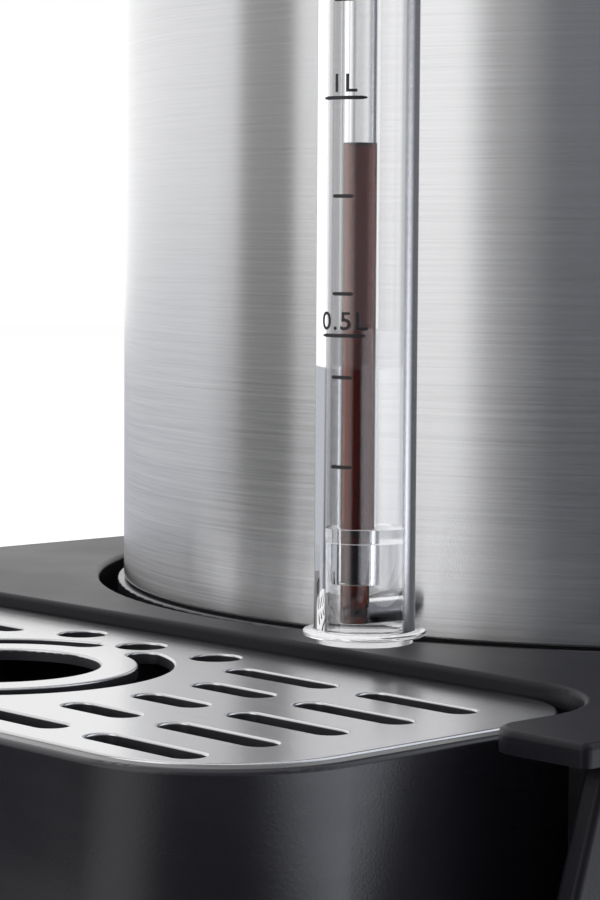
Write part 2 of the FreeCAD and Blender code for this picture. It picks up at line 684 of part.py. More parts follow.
def gauge_socket():
    x, y = around(GAUGE_REACH, GAUGE_ANGLE)
    tx, ty = around(TUBE_REACH, GAUGE_ANGLE)
    base = PLATE_Z + RUN_FIT
    seat = PLATE_Z + SOCKET_TOP - TUBE_SEAT
    body = cylinder(SOCKET_BASE_R, base, PLATE_Z + SHIELD_LIFT, x, y)
    body = body.fuse(cylinder(SOCKET_R, base, PLATE_Z + SOCKET_TOP, x, y))
    boss = duct_hole(DUCT_BOSS_R, BODY_R + 0.3, GAUGE_REACH)
    body = body.fuse(boss)
    body = body.cut(cylinder(TUBE_R + 0.05, seat, PLATE_Z + SOCKET_TOP + 1.0, tx, ty))
    body = body.cut(cylinder(TUBE_R - TUBE_WALL, PLATE_Z + DUCT_Z, seat + 1.0, tx, ty))
    body = body.cut(duct_hole(DUCT_R + 0.02, BODY_R - 2.0, GAUGE_REACH - SOCKET_R))
    body = body.cut(duct_hole(DUCT_R - DUCT_WALL, BODY_R - 2.0, TUBE_REACH))
    return body.removeSplitter()


def gauge_shield():
    x, y = around(GAUGE_REACH, GAUGE_ANGLE)
    low = PLATE_Z + SHIELD_LIFT
    body = cylinder(SHIELD_R, low, PLATE_Z + GAUGE_TOP, x, y)
    flange = cylinder(FLANGE_R, low, low + FLANGE_T, x, y)
    flange = flange.makeFillet(FLANGE_T / 2.5, rim_edges(flange, low + FLANGE_T))
    body = body.fuse(flange)
    body = body.cut(cylinder(SHIELD_BORE_R, low - 1.0, PLATE_Z + GAUGE_TOP + 1.0, x, y))
    return body.cut(duct_hole(DUCT_BOSS_R + 0.3, BODY_R - 2.0, GAUGE_REACH))


def gauge_tube():
    x, y = around(TUBE_REACH, GAUGE_ANGLE)
    low = PLATE_Z + SOCKET_TOP - TUBE_SEAT
    return ring(TUBE_R, TUBE_R - TUBE_WALL, low, PLATE_Z + GAUGE_TOP + 2.0, x, y)


def gauge_seals():
    """Two soft discs in the shield that hold the glass tube near its printed side."""
    x, y = around(GAUGE_REACH, GAUGE_ANGLE)
    tx, ty = around(TUBE_REACH, GAUGE_ANGLE)
    low = PLATE_Z + SOCKET_TOP
    high = PLATE_Z + GAUGE_TOP - SEAL_H
    return Part.makeCompound([cylinder(SHIELD_BORE_R - SEAL_PLAY, z, z + SEAL_H, x, y)
                              .cut(cylinder(TUBE_R + 0.03, z - 1.0, z + SEAL_H + 1.0, tx, ty))
                              for z in (low, high)])


def gauge_cap():
    x, y = around(GAUGE_REACH, GAUGE_ANGLE)
    end = PLATE_Z + GAUGE_TOP
    low = end - CAP_DEPTH
    high = end + CAP_ROOF + 2.0
    body = cylinder(CAP_R, low, high, x, y)
    body = body.makeFillet(1.5, rim_edges(body, high))
    web = box(-CAP_R * 0.7, CAP_R * 0.7, -GAUGE_REACH, -BODY_R, low, high - 1.5)
    web.rotate(vec(0, 0, 0), vec(0, 0, 1), GAUGE_ANGLE)
    body = body.fuse(web).cut(cylinder(COLLAR_R + 0.1, low - 1.0, high + 1.0))
    body = body.cut(cylinder(SHIELD_R + 0.1, low - 1.0, end, x, y))
    tx, ty = around(TUBE_REACH, GAUGE_ANGLE)
    body = body.cut(cylinder(TUBE_R + 0.1, end - 1.0, end + 2.0, tx, ty))
    return body.removeSplitter()


# Collar, neck insert and riser

def hinge_ears():
    ears = []
    for side in (1, -1):
        x0 = KNUCKLE_HALF + RUN_FIT
        x1 = x0 + EAR_W
        low, high = (x0, x1) if side > 0 else (-x1, -x0)
        foot = box(low, high, COLLAR_R - 6.0, HINGE_REACH + KNUCKLE_R, COLLAR_TOP - 8.0, COLLAR_TOP)
        stem = box(low, high, HINGE_REACH - KNUCKLE_R + 1.0, HINGE_REACH + KNUCKLE_R,
                   COLLAR_TOP - 1.0, HINGE_Z)
        eye = rod(KNUCKLE_R, vec(low, HINGE_REACH, HINGE_Z), vec(high, HINGE_REACH, HINGE_Z))
        eye = eye.common(box(low, high, HINGE_REACH - KNUCKLE_R + 1.0, HINGE_REACH + KNUCKLE_R,
                             HINGE_Z - KNUCKLE_R, HINGE_Z + KNUCKLE_R))
        ears.append(fuse([foot, stem, eye]))
    return ears


def pivot_boss(side):
    outer = COLLAR_R + PIVOT_PROUD
    return rod(PIVOT_BOSS_R, vec(side * (COLLAR_R - 4.0), 0, PIVOT_Z), vec(side * outer, 0, PIVOT_Z))


def handle_stop(side):
    """A peg under the handle's arm; the folded handle rests on it."""
    a = math.radians(HANDLE_DROOP)
    off = HANDLE_W / 2.0 + HANDLE_STOP_R + HANDLE_STOP_FIT
    y = HANDLE_STOP_REACH * math.cos(a) - off * math.sin(a)
    z = PIVOT_Z - HANDLE_STOP_REACH * math.sin(a) - off * math.cos(a)
    outer = COLLAR_R + PIVOT_PROUD + HANDLE_GAP + HANDLE_T
    return rod(HANDLE_STOP_R, vec(side * (COLLAR_R - 3.0), y, z), vec(side * outer, y, z))


def collar():
    low = SHELL_TOP - COLLAR_LIP
    body = turned([(BODY_R + SHELL_FIT, low), (COLLAR_R, low), (COLLAR_R, COLLAR_TOP - 1.2),
                   (COLLAR_R - 1.2, COLLAR_TOP), (NECK_R + INSERT_FIT, COLLAR_TOP),
                   (NECK_R + INSERT_FIT, SHELL_TOP), (BODY_R + SHELL_FIT, SHELL_TOP)])
    channel = ring(COLLAR_R - 2.0 * COLLAR_WALL, NECK_R + INSERT_FIT + COLLAR_WALL, SHELL_TOP - 1.0,
                   COLLAR_TOP - COLLAR_WALL)
    gap = pivot_boss(1).fuse(pivot_boss(-1))
    body = body.cut(channel)
    body = fuse([body, gap, handle_stop(1), handle_stop(-1)] + hinge_ears())
    half = 2.0 * HINGE_HALF
    pin = rod(PIN_R + 0.02, vec(-half, HINGE_REACH, HINGE_Z), vec(half, HINGE_REACH, HINGE_Z))
    body = body.cut(pin)
    body = body.cut(cylinder(BODY_R + SHELL_FIT, low - 1.0, SHELL_TOP))
    bores = rod(PIVOT_PIN_R + 0.02, vec(-2.0 * COLLAR_R, 0, PIVOT_Z), vec(2.0 * COLLAR_R, 0, PIVOT_Z))
    bores = bores.cut(cylinder(COLLAR_R - COLLAR_WALL - 2.0, low, COLLAR_TOP))
    body = body.cut(bores)
    pocket = box(COLLAR_R - LATCH_PLATE - LATCH_TRAVEL - 0.5, COLLAR_R - 3.5,
                 -LATCH_HALF_W - 1.5, LATCH_HALF_W + 1.5,
                 COLLAR_TOP - LATCH_LEG - 1.0, COLLAR_TOP + 1.0)
    return body.cut(pocket).removeSplitter()


def neck_insert():
    """A ring in the neck: it holds the riser tube, and the airpot is filled through it."""
    top = SHELL_TOP + INSERT_T
    outer = NECK_R - INSERT_FIT
    wall = outer - INSERT_WALL
    low = SHELL_TOP - INSERT_SKIRT
    groove = SHELL_TOP - GASKET_DROP
    bed = outer - GASKET_W
    land = outer - INSERT_LAND
    body = turned([(INSERT_BORE_R, SHELL_TOP), (wall, SHELL_TOP), (wall, low), (outer, low), (outer, groove),
                   (bed, groove), (bed, groove + GASKET_H), (outer, groove + GASKET_H), (outer, top),
                   (land, top), (land, top - INSERT_STEP), (INSERT_BORE_R, top - INSERT_STEP)])
    boss = cylinder(RISER_R + TUBE_BOSS_WALL, SHELL_TOP, top, 0.0, -RISER_REACH)
    body = body.fuse(boss.common(cylinder(outer, SHELL_TOP, top)))
    bore = cylinder(RISER_R + 0.02, low - 1.0, top + 1.0, 0.0, -RISER_REACH)
    return body.cut(bore).removeSplitter()


def neck_gasket():
    low = SHELL_TOP - GASKET_DROP
    return ring(NECK_R - 0.05, NECK_R - INSERT_FIT - GASKET_W, low, low + GASKET_H)


def riser_tube():
    low = VESSEL_FLOOR_Z + RISER_LIFT
    return ring(RISER_R, RISER_R - RISER_WALL, low, SHELL_TOP + INSERT_T, 0.0, -RISER_REACH)


def riser_seal():
    low = SHELL_TOP + INSERT_T
    return ring(RISER_R + RISER_SEAL_W, RISER_R - RISER_WALL, low, low + RISER_SEAL_H, 0.0, -RISER_REACH)


# Lid

def lid_profile(inset):
    """Half section of the lid's outside, drawn in by a wall."""
    low = LID_BOTTOM
    top = LID_TOP - inset
    side = COLLAR_R - inset
    shoulder = LID_BOTTOM + LID_STRAIGHT
    crown = LID_TOP_R - inset
    mid = vec(side - 0.28 * (side - crown), 0, shoulder + 0.62 * (top - shoulder))
    a, b, c = vec(0, 0, low), vec(side, 0, low), vec(side, 0, shoulder)
    d, e = vec(crown, 0, top), vec(0, 0, top)
    edges = [Part.makeLine(a, b), Part.makeLine(b, c), Part.Arc(c, mid, d).toShape(),
             Part.makeLine(d, e), Part.makeLine(e, a)]
    return Part.Face(Part.Wire(edges)).revolve(vec(0, 0, 0), vec(0, 0, 1), 360)


def nose_block(inset):
    """The spout's housing, long at the top and rounded at its tip."""
    w = NOSE_HALF_W - inset
    tip = -(RING_REACH + NOSE_END - inset)
    low = LID_BOTTOM + NOSE_LOW + inset
    high = LID_BOTTOM + NOSE_LOW + NOSE_H - inset
    rise = 3.0
    root = 20.0 - BODY_R
    block = side_prism([(root, low), (tip, low), (tip, high - rise), (root, high + rise)], -w, w)
    tip_edges = upright_edges(block, lambda x, y: y < tip + 1.0)
    block = block.makeFillet(w - 1.0, tip_edges)
    if inset == 0.0:
        upper = [e for e in block.Edges if e.BoundBox.ZMin > high - rise - 0.5 and e.BoundBox.YMin < -BODY_R]
        block = block.makeFillet(NOSE_ROUND - 2.0, upper)
    return block


def spout_housing():
    """The nose over the spout's pipe, clipped on the lid's front."""
    body = nose_block(0.0).cut(nose_block(LID_WALL)).cut(lid_profile(-PRESS_FIT))
    high = LID_BOTTOM + NOSE_LOW + LID_WALL
    body = body.fuse(cylinder(NOZZLE_R + 2.0, LID_BOTTOM, high, 0.0, -RING_REACH))
    return body.cut(cylinder(NOZZLE_R, LID_BOTTOM - 1.0, high, 0.0, -RING_REACH)).removeSplitter()


def pump_well():
    """The cylinder that the push plate runs in, pressed into the lid."""
    return ring(WELL_R + WELL_WALL, WELL_R, LID_BOTTOM + WELL_LIFT, LID_TOP)


def lid_housing():
    body = lid_profile(0.0).cut(lid_profile(LID_WALL))
    body = body.cut(cylinder(COLLAR_R - LID_WALL, LID_BOTTOM - 1.0, LID_BOTTOM + 1.0))
    body = body.cut(cylinder(WELL_R + WELL_WALL + PRESS_FIT, LID_BOTTOM, LID_TOP + 1.0))
    body = body.cut(nose_block(LID_WALL))
    body = body.cut(latch_window())
    half = KNUCKLE_HALF
    knuckle = rod(KNUCKLE_R, vec(-half, HINGE_REACH, HINGE_Z), vec(half, HINGE_REACH, HINGE_Z))
    arm = box(-half, half, COLLAR_R - 4.0, HINGE_REACH, HINGE_Z - 3.4, HINGE_Z + KNUCKLE_R)
    body = body.fuse(fuse([knuckle, arm.cut(lid_profile(LID_WALL))]))
    far = 2.0 * HINGE_HALF
    body = body.cut(rod(PIN_R + PIN_FIT, vec(-far, HINGE_REACH, HINGE_Z), vec(far, HINGE_REACH, HINGE_Z)))
    seat_x = COLLAR_R - LATCH_PLATE - LATCH_SPRING_L
    low = latch_low() - 2.0
    seat = box(seat_x - 2.0, seat_x, -6.0, 6.0, low, latch_low() + LATCH_H + 2.0)
    tie = box(WELL_R + WELL_WALL + RUN_FIT, seat_x - 1.5, -1.5, 1.5, low, LID_TOP - LID_WALL + 0.5)
    body = body.fuse(seat).fuse(tie)
    for x, y in cover_screw_places():
        boss = cylinder(COVER_BOSS_R, inner_cover_low() + INNER_COVER_T, LID_TOP - LID_WALL + 0.5, x, y)
        depth = INNER_COVER_T + LID_SCREW_GRIP + 2.0
        hole = cylinder(SCREW_R + 0.05, inner_cover_low(), inner_cover_low() + depth, x, y)
        body = body.fuse(boss).cut(hole)
    inner, outer = LOCK_HALF_W + RUN_FIT, LOCK_HALF_W + RUN_FIT + LOCK_RAIL_W
    y0 = WELL_R + WELL_WALL
    y1 = y0 + LOCK_LENGTH + LOCK_TRAVEL
    rails = [box(x0, x1, y0, y1, LID_TOP - 0.5, LID_TOP + LOCK_RAIL_H)
             for x0, x1 in ((inner, outer), (-outer, -inner))]
    return fuse([body] + rails)


def latch_low():
    return LID_BOTTOM + 9.0


def inner_cover_low():
    return LID_BOTTOM + COVER_GAP


def cover_screw_places():
    return [around(COVER_SCREW_REACH, angle) for angle in (45.0, 135.0, 225.0, 315.0)]


def lid_inner_cover():
    """Closes the lid from below and carries the bellows' base and the gasket."""
    low = inner_cover_low()
    high = low + INNER_COVER_T
    body = cylinder(COLLAR_R - LID_WALL - 0.1, low, high)
    body = body.cut(cylinder(VALVE_R + 0.3, low - 1.0, high + 1.0))
    body = body.cut(cylinder(PIPE_R + 0.2, low - 1.0, high + 1.0, 0.0, -RISER_REACH))
    body = body.cut(box(COLLAR_R - LATCH_PLATE - LATCH_TRAVEL - 1.0, COLLAR_R, -LATCH_HALF_W, LATCH_HALF_W,
                        low - 1.0, high + 1.0))
    for x, y in cover_screw_places():
        body = body.cut(cylinder(SCREW_R + 0.1, low - 1.0, high + 1.0, x, y))
        body = body.cut(cylinder(SCREW_HEAD_R + 0.3, low - 1.0, high - 1.0, x, y))
    return body


def latch_window():
    return box(COLLAR_R - 8.0, COLLAR_R + 2.0, -LATCH_HALF_W - RUN_FIT, LATCH_HALF_W + RUN_FIT,
               latch_low() - RUN_FIT, latch_low() + LATCH_H + RUN_FIT)


def bellows_base():
    body = cylinder(WELL_R - 0.05, WELL_FLOOR_Z - WELL_FLOOR_T, WELL_FLOOR_Z)
    return body.cut(cylinder(AIR_PORT_R, WELL_FLOOR_Z - WELL_FLOOR_T - 1.0, WELL_FLOOR_Z + 1.0))


def check_valve():
    low = WELL_FLOOR_Z - WELL_FLOOR_T - VALVE_T
    return ring(AIR_PORT_R + 4.0, 1.0, low, low + VALVE_T)


def lid_gasket():
    r = NECK_R - INSERT_FIT - 1.0
    low = SHELL_TOP + INSERT_T
    body = ring(r, r - LID_GASKET_W, low, inner_cover_low())
    return body.cut(cylinder(RISER_R + RISER_SEAL_W + 1.0, low - 1.0, LID_TOP, 0.0, -RISER_REACH))


def spout_pipe():
    """Up from the riser's seal, forward through the nose and down at the spout."""
    start = SHELL_TOP + INSERT_T + RISER_SEAL_H + RUN_FIT
    level = LID_BOTTOM + PIPE_RISE
    r = PIPE_BEND
    y0, y1 = -RISER_REACH, -RING_REACH
    k = r * (1.0 - math.sqrt(0.5))
    path = [Part.makeLine(vec(0, y0, start), vec(0, y0, level - r)),
            Part.Arc(vec(0, y0, level - r), vec(0, y0 - k, level - k), vec(0, y0 - r, level)).toShape(),
            Part.makeLine(vec(0, y0 - r, level), vec(0, y1 + r, level)),
            Part.Arc(vec(0, y1 + r, level), vec(0, y1 + k, level - k), vec(0, y1, level - r)).toShape(),
            Part.makeLine(vec(0, y1, level - r), vec(0, y1, LID_BOTTOM - PIPE_DROP))]
    wire = Part.Wire(path)
    section = [Part.Wire(Part.makeCircle(radius, vec(0, y0, start), vec(0, 0, 1)))
               for radius in (PIPE_R, PIPE_R - PIPE_WALL)]
    outer = wire.makePipeShell([section[0]], True, False)
    inner = wire.makePipeShell([section[1]], True, False)
    return outer.cut(inner)


def spout_nozzle():
    low = LID_BOTTOM - PIPE_DROP + 1.0
    body = cylinder(NOZZLE_R - RUN_FIT, low, low + NOZZLE_H, 0.0, -RING_REACH)
    body = body.makeFillet(1.2, rim_edges(body, low))
    return body.cut(cylinder(PIPE_R + 0.05, low - 1.0, low + NOZZLE_H + 1.0, 0.0, -RING_REACH))


def lid_screws():
    head = inner_cover_low() + INNER_COVER_T - 1.0 - SCREW_HEAD_H
    length = SCREW_HEAD_H + LID_SCREW_GRIP
    return Part.makeCompound([screw(x, y, head, length) for x, y in cover_screw_places()])


# Pump

def push_plate():
    r = WELL_R - PUMP_FIT
    body = cylinder(r, PUMP_UNDER - PUMP_SKIRT, PUMP_TOP)
    body = body.makeFillet(2.0, rim_edges(body, PUMP_TOP))
    body = body.cut(cylinder(r - PUMP_SKIRT_T, PUMP_UNDER - PUMP_SKIRT - 1.0, PUMP_UNDER))
    dish = Part.makeSphere(DISH_R, vec(0, 0, PUMP_TOP + DISH_R - DISH_DEPTH))
    body = body.cut(dish)
    w = LOCK_HALF_W + 1.0
    body = body.cut(box(-w, w, r - 8.0, r + 2.0, LID_TOP + 0.4, LID_TOP + 1.6 + LOCK_TONGUE_T))
    return body.cut(cylinder(DISH_HOLE_R, PUMP_UNDER - 1.0, PUMP_TOP + 1.0))


def air_valve():
    return cylinder(VALVE_R, PUMP_UNDER - VALVE_T, PUMP_UNDER).cut(
        cylinder(2.0, PUMP_UNDER - VALVE_T - 1.0, PUMP_UNDER - VALVE_T + 1.0))


def bellows():
    low, high = WELL_FLOOR_Z, PUMP_UNDER
    step = (high - low) / (2 * BELLOWS_FOLDS)
    outer = [(BELLOWS_R - (BELLOWS_FOLD if i % 2 == 0 else 0.0), low + i * step)
             for i in range(2 * BELLOWS_FOLDS + 1)]
    inner = [(r - BELLOWS_T * 1.4, z) for r, z in reversed(outer)]
    return turned(outer + inner)


def pump_spring():
    low = WELL_FLOOR_Z + SPRING_WIRE_R
    high = PUMP_UNDER - SPRING_WIRE_R
    pitch = (high - low) / SPRING_TURNS
    helix = Part.makeHelix(pitch, high - low, SPRING_R)
    helix.translate(vec(0, 0, low))
    wire = Part.Wire(helix.Edges)
    rim = Part.Circle(vec(SPRING_R, 0, low), vec(0, 1, 0), SPRING_WIRE_R)
    halves = [Part.Arc(rim, start, start + math.pi).toShape() for start in (0.0, math.pi)]
    return wire.makePipeShell([Part.Wire(halves)], True, True)


def pump_lock():
    inner = WELL_R + WELL_WALL
    tip = WELL_R - PUMP_FIT + 2.6
    body = box(-LOCK_HALF_W, LOCK_HALF_W, inner + LOCK_TRAVEL, inner + LOCK_TRAVEL + LOCK_LENGTH,
               LID_TOP + RUN_FIT, LID_TOP + LOCK_H)
    body = body.makeFillet(0.8, rim_edges(body, LID_TOP + LOCK_H))
    tongue = box(-LOCK_HALF_W + 1.0, LOCK_HALF_W - 1.0, tip, inner + LOCK_TRAVEL + 2.0,
                 LID_TOP + 0.8, LID_TOP + 0.8 + LOCK_TONGUE_T)
    body = body.fuse(tongue)
    for line in range(3):
        y = inner + LOCK_TRAVEL + 4.0 + 3.0 * line
        w, top = LOCK_HALF_W - 2.0, LID_TOP + LOCK_H
        body = body.cut(box(-w, w, y, y + 1.0, top - 0.6, top + 1.0))
    return body.removeSplitter()


def lid_latch():
    low = latch_low()
    face = COLLAR_R + LATCH_PROUD
    button = box(COLLAR_R - 6.0, face, -LATCH_HALF_W, LATCH_HALF_W, low, low + LATCH_H)
    outer = [e for e in button.Edges if e.BoundBox.XMin > face - 0.01]
    button = button.makeFillet(1.5, outer)
    leg = box(COLLAR_R - LATCH_PLATE, COLLAR_R - LATCH_PLATE + 4.0, -LATCH_HALF_W + 1.0, LATCH_HALF_W - 1.0,
              COLLAR_TOP - LATCH_LEG, low + LATCH_H)
    return fuse([button, leg])


def latch_spring():
    z = latch_low() + LATCH_H / 2.0
    wire_r = LATCH_SPRING_WIRE_R
    start = COLLAR_R - LATCH_PLATE - LATCH_SPRING_L
    run = LATCH_SPRING_L - 2.0 * wire_r
    helix = Part.makeHelix(run / LATCH_SPRING_TURNS, run, LATCH_SPRING_R)
    wire = Part.Wire(helix.Edges)
    circle = Part.Wire(Part.makeCircle(wire_r, vec(LATCH_SPRING_R, 0, 0), vec(0, 1, 0)))
    coil = wire.makePipeShell([circle], True, True)
    coil.rotate(vec(0, 0, 0), vec(0, 1, 0), 90)
    coil.translate(vec(start + wire_r, 0, z))
    return coil


# Hinge pin, handle and its pins

def hinge_pin():
    return rod(PIN_R, vec(-HINGE_HALF, HINGE_REACH, HINGE_Z), vec(HINGE_HALF, HINGE_REACH, HINGE_Z))


def handle_pins():
    pins = []
    for side in (1, -1):
        inner = side * (COLLAR_R - COLLAR_WALL - 1.5)
        out = COLLAR_R + PIVOT_PROUD + HANDLE_GAP + HANDLE_T + 0.2
        shank = rod(PIVOT_PIN_R, vec(inner, 0, PIVOT_Z), vec(side * (out + 0.2), 0, PIVOT_Z))
        head = rod(PIVOT_PIN_R + 2.0, vec(side * out, 0, PIVOT_Z), vec(side * (out + 0.9), 0, PIVOT_Z))
        pins.append(shank.fuse(head))
    return Part.makeCompound(pins)


def handle_middle_x():
    return COLLAR_R + PIVOT_PROUD + HANDLE_GAP + HANDLE_T / 2.0


def handle_path():
    x = handle_middle_x()
    r = HANDLE_BEND
    k = r * (1.0 - math.sqrt(0.5))
    y = HANDLE_REACH
    z = PIVOT_Z
    right = [Part.makeLine(vec(x, 0, z), vec(x, y - r, z)),
             Part.Arc(vec(x, y - r, z), vec(x - k, y - k, z), vec(x - r, y, z)).toShape()]
    across = Part.makeLine(vec(x - r, y, z), vec(r - x, y, z))
    left = [Part.Arc(vec(r - x, y, z), vec(k - x, y - k, z), vec(-x, y - r, z)).toShape(),
            Part.makeLine(vec(-x, y - r, z), vec(-x, 0, z))]
    return Part.Wire(right + [across] + left)


def droop(shape):
    shape.rotate(vec(0, 0, PIVOT_Z), vec(1, 0, 0), -HANDLE_DROOP)
    return shape


def carry_handle():
    x = handle_middle_x()
    h, w = HANDLE_T / 2.0, HANDLE_W / 2.0
    corners = [vec(x - h, 0, PIVOT_Z - w), vec(x + h, 0, PIVOT_Z - w), vec(x + h, 0, PIVOT_Z + w),
               vec(x - h, 0, PIVOT_Z + w)]
    section = Part.makePolygon(corners + [corners[0]])
    bar = handle_path().makePipeShell([section], True, False)
    eyes = [rod(PIVOT_BOSS_R, vec(side * (x - h), 0, PIVOT_Z), vec(side * (x + h), 0, PIVOT_Z))
            for side in (1, -1)]
    body = fuse([bar] + eyes)
    body = body.cut(rod(PIVOT_PIN_R + PIN_FIT, vec(-2.0 * x, 0, PIVOT_Z), vec(2.0 * x, 0, PIVOT_Z)))
    return droop(body)


def handle_grip():
    h, w = HANDLE_T / 2.0, HANDLE_W / 2.0
    y, s = HANDLE_REACH, GRIP_SKIN
    outer = box(-GRIP_HALF, GRIP_HALF, y - h - s, y + h + s, PIVOT_Z - w - s, PIVOT_Z + w + s)
    long_edges = [e for e in outer.Edges if abs(e.tangentAt(e.FirstParameter).x) > 0.9]
    outer = outer.makeFillet(3.0, long_edges)
    inner = box(-GRIP_HALF - 1.0, GRIP_HALF + 1.0, y - h, y + h, PIVOT_Z - w, PIVOT_Z + w)
    return droop(outer.cut(inner))


PIECES = {
    "stand_top": stand_top, "stand_skirt": stand_skirt, "base_panel": base_panel,
    "tray_bay": tray_bay,
    "stand_feet": stand_feet, "stand_screws": stand_screws, "recess_pad": recess_pad,
    "drip_tray": drip_tray, "drip_grate": drip_grate,
    "foot_ring": foot_ring, "outer_shell": outer_shell, "bottom_cover": bottom_cover,
    "bottom_screws": bottom_screws, "vessel_cushion": vessel_cushion,
    "vessel_floor": vessel_floor, "inner_vessel": inner_vessel,
    "vessel_shoulder": vessel_shoulder, "neck_ring": neck_ring, "feed_pipe": feed_pipe,
    "gauge_socket": gauge_socket, "gauge_shield": gauge_shield, "gauge_tube": gauge_tube,
    "gauge_seals": gauge_seals, "gauge_cap": gauge_cap,
    "collar": collar, "neck_insert": neck_insert, "neck_gasket": neck_gasket,
    "riser_tube": riser_tube, "riser_seal": riser_seal,
    "lid_housing": lid_housing, "pump_well": pump_well, "spout_housing": spout_housing,
    "lid_inner_cover": lid_inner_cover, "lid_screws": lid_screws,
    "bellows_base": bellows_base, "check_valve": check_valve, "lid_gasket": lid_gasket,
    "spout_pipe": spout_pipe, "spout_nozzle": spout_nozzle,
    "push_plate": push_plate, "air_valve": air_valve, "bellows": bellows, "pump_spring": pump_spring,
    "pump_lock": pump_lock, "lid_latch": lid_latch, "latch_spring": latch_spring,
    "hinge_pin": hinge_pin, "handle_pins": handle_pins,
    "carry_handle": carry_handle, "handle_grip": handle_grip,
}


def main():
    os.makedirs("parts", exist_ok=True)
    shapes = {name: make() for name, make in PIECES.items()}
    whole = Part.makeCompound(list(shapes.values())).optimalBoundingBox(False, False)
    middle = vec((whole.XMin + whole.XMax) / 2.0, (whole.YMin + whole.YMax) / 2.0, 0.0)
    for name, shape in shapes.items():
        shape.translate(middle.negative())
        shape.exportStep("parts/" + name + ".step")
    print("airpot axis at y", round(-middle.y, 3), "mm; size", round(whole.XLength, 2),
          round(whole.YLength, 2), round(whole.ZLength, 2))
    print("handle pivots at z", round(PIVOT_Z, 3), "lid hinge at y", round(HINGE_REACH - middle.y, 3),
          "z", round(HINGE_Z, 3))


main()
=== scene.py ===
import json
import math

import bpy
from mathutils import Matrix, Vector


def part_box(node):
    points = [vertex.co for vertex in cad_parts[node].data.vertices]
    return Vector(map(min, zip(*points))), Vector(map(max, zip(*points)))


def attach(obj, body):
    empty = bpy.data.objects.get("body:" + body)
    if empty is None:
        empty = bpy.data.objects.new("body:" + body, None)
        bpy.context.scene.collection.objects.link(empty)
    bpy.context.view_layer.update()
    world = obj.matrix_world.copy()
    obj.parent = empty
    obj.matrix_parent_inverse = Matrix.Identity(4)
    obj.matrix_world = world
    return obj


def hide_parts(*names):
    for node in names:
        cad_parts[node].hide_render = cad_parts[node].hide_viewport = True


bl_info = {
    "name": "Airpot on a drip stand",
    "version": (1, 0, 0),
    "blender": (4, 5, 0),
    "location": "3D View > Sidebar > Airpot",
    "description": "Builds the finish of a steel airpot, its sight gauge and its drip stand",
    "category": "Object",
}

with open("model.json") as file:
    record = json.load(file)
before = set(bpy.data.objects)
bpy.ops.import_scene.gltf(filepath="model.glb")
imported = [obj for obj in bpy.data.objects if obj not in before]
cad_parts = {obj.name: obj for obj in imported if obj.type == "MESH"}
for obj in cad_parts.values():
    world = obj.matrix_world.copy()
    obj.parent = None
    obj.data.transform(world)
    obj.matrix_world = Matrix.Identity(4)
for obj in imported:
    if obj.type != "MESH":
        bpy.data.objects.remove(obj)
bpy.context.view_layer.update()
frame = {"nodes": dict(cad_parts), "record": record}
NODES = frame["nodes"]
MM = 0.001


def middle_of(node):
    """The upright middle line of a CAD piece, as x and y."""
    low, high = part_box(node)
    return (low.x + high.x) / 2, (low.y + high.y) / 2


AXIS_X, AXIS_Y = middle_of("inner_vessel")
GAUGE_X, GAUGE_Y = middle_of("gauge_seals")
GAUGE_ANGLE = math.atan2(GAUGE_X - AXIS_X, AXIS_Y - GAUGE_Y)
TUBE_X, TUBE_Y = middle_of("gauge_tube")
PLATE_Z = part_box("stand_top")[1].z

# Sizes shared with the solids, in mm
SHELL_R, SHELL_WALL = 80.0, 0.8
SHIELD_BORE_R, SHIELD_R, FLANGE_R, FLANGE_T = 5.15, 6.45, 7.9, 0.7
GLASS_R, GLASS_BORE_R = 2.4, 1.4
DRINK_FOOT = 3.0
GRATE_RIM, GRATE_CORNER_R = 3.0, 22.0

# Printed scale: heights over the plate in mm, and half lengths in degrees around the shield
LOW_MARKS = [(0.2, 23.0), (0.4, 34.2), (0.5, 39.4), (0.6, 44.6), (0.8, 56.7)]
FIRST_EVEN_MARK, MARK_STEP, EVEN_MARKS = 68.8, 12.05, 9
LONG_MARK_HALF, SHORT_MARK_HALF = 27.6, 13.0
INK_R, INK_T = 6.475, 0.02
CAPITAL_SHARE = 0.73
LABEL_LIFT, LABEL_WIDTH = 0.75, 1.1

# Finishing
FLAT_WITHIN = 0.3
GRAIN_SIZE = 0.00045
TURN_SCALE = 0.08


# Sizes and colours that a user would change

class AirpotSizes(bpy.types.PropertyGroup):
    """Sizes of the printed scale, the drink and the surface finishes."""
    drink_level: bpy.props.FloatProperty(
        name="Drink level", description="Height of the drink in the gauge above the stand's plate",
        default=0.063, min=0.02, max=0.17, subtype="DISTANCE", unit="LENGTH")
    mark_line: bpy.props.FloatProperty(
        name="Mark thickness", description="Thickness of a printed line of the litre scale",
        default=0.00045, min=0.0002, max=0.001, subtype="DISTANCE", unit="LENGTH")
    label_height: bpy.props.FloatProperty(
        name="Number height", description="Height of the printed litre numbers",
        default=0.0023, min=0.001, max=0.004, subtype="DISTANCE", unit="LENGTH")
    grain_depth: bpy.props.FloatProperty(
        name="Grain depth", description="Depth of the moulded plastic's fine grain",
        default=0.00003, min=0.0, max=0.0002, precision=6, subtype="DISTANCE", unit="LENGTH")
    brush_depth: bpy.props.FloatProperty(
        name="Brush depth", description="Depth of the brush lines in the steel",
        default=0.0000022, min=0.0, max=0.00005, precision=7, subtype="DISTANCE", unit="LENGTH")


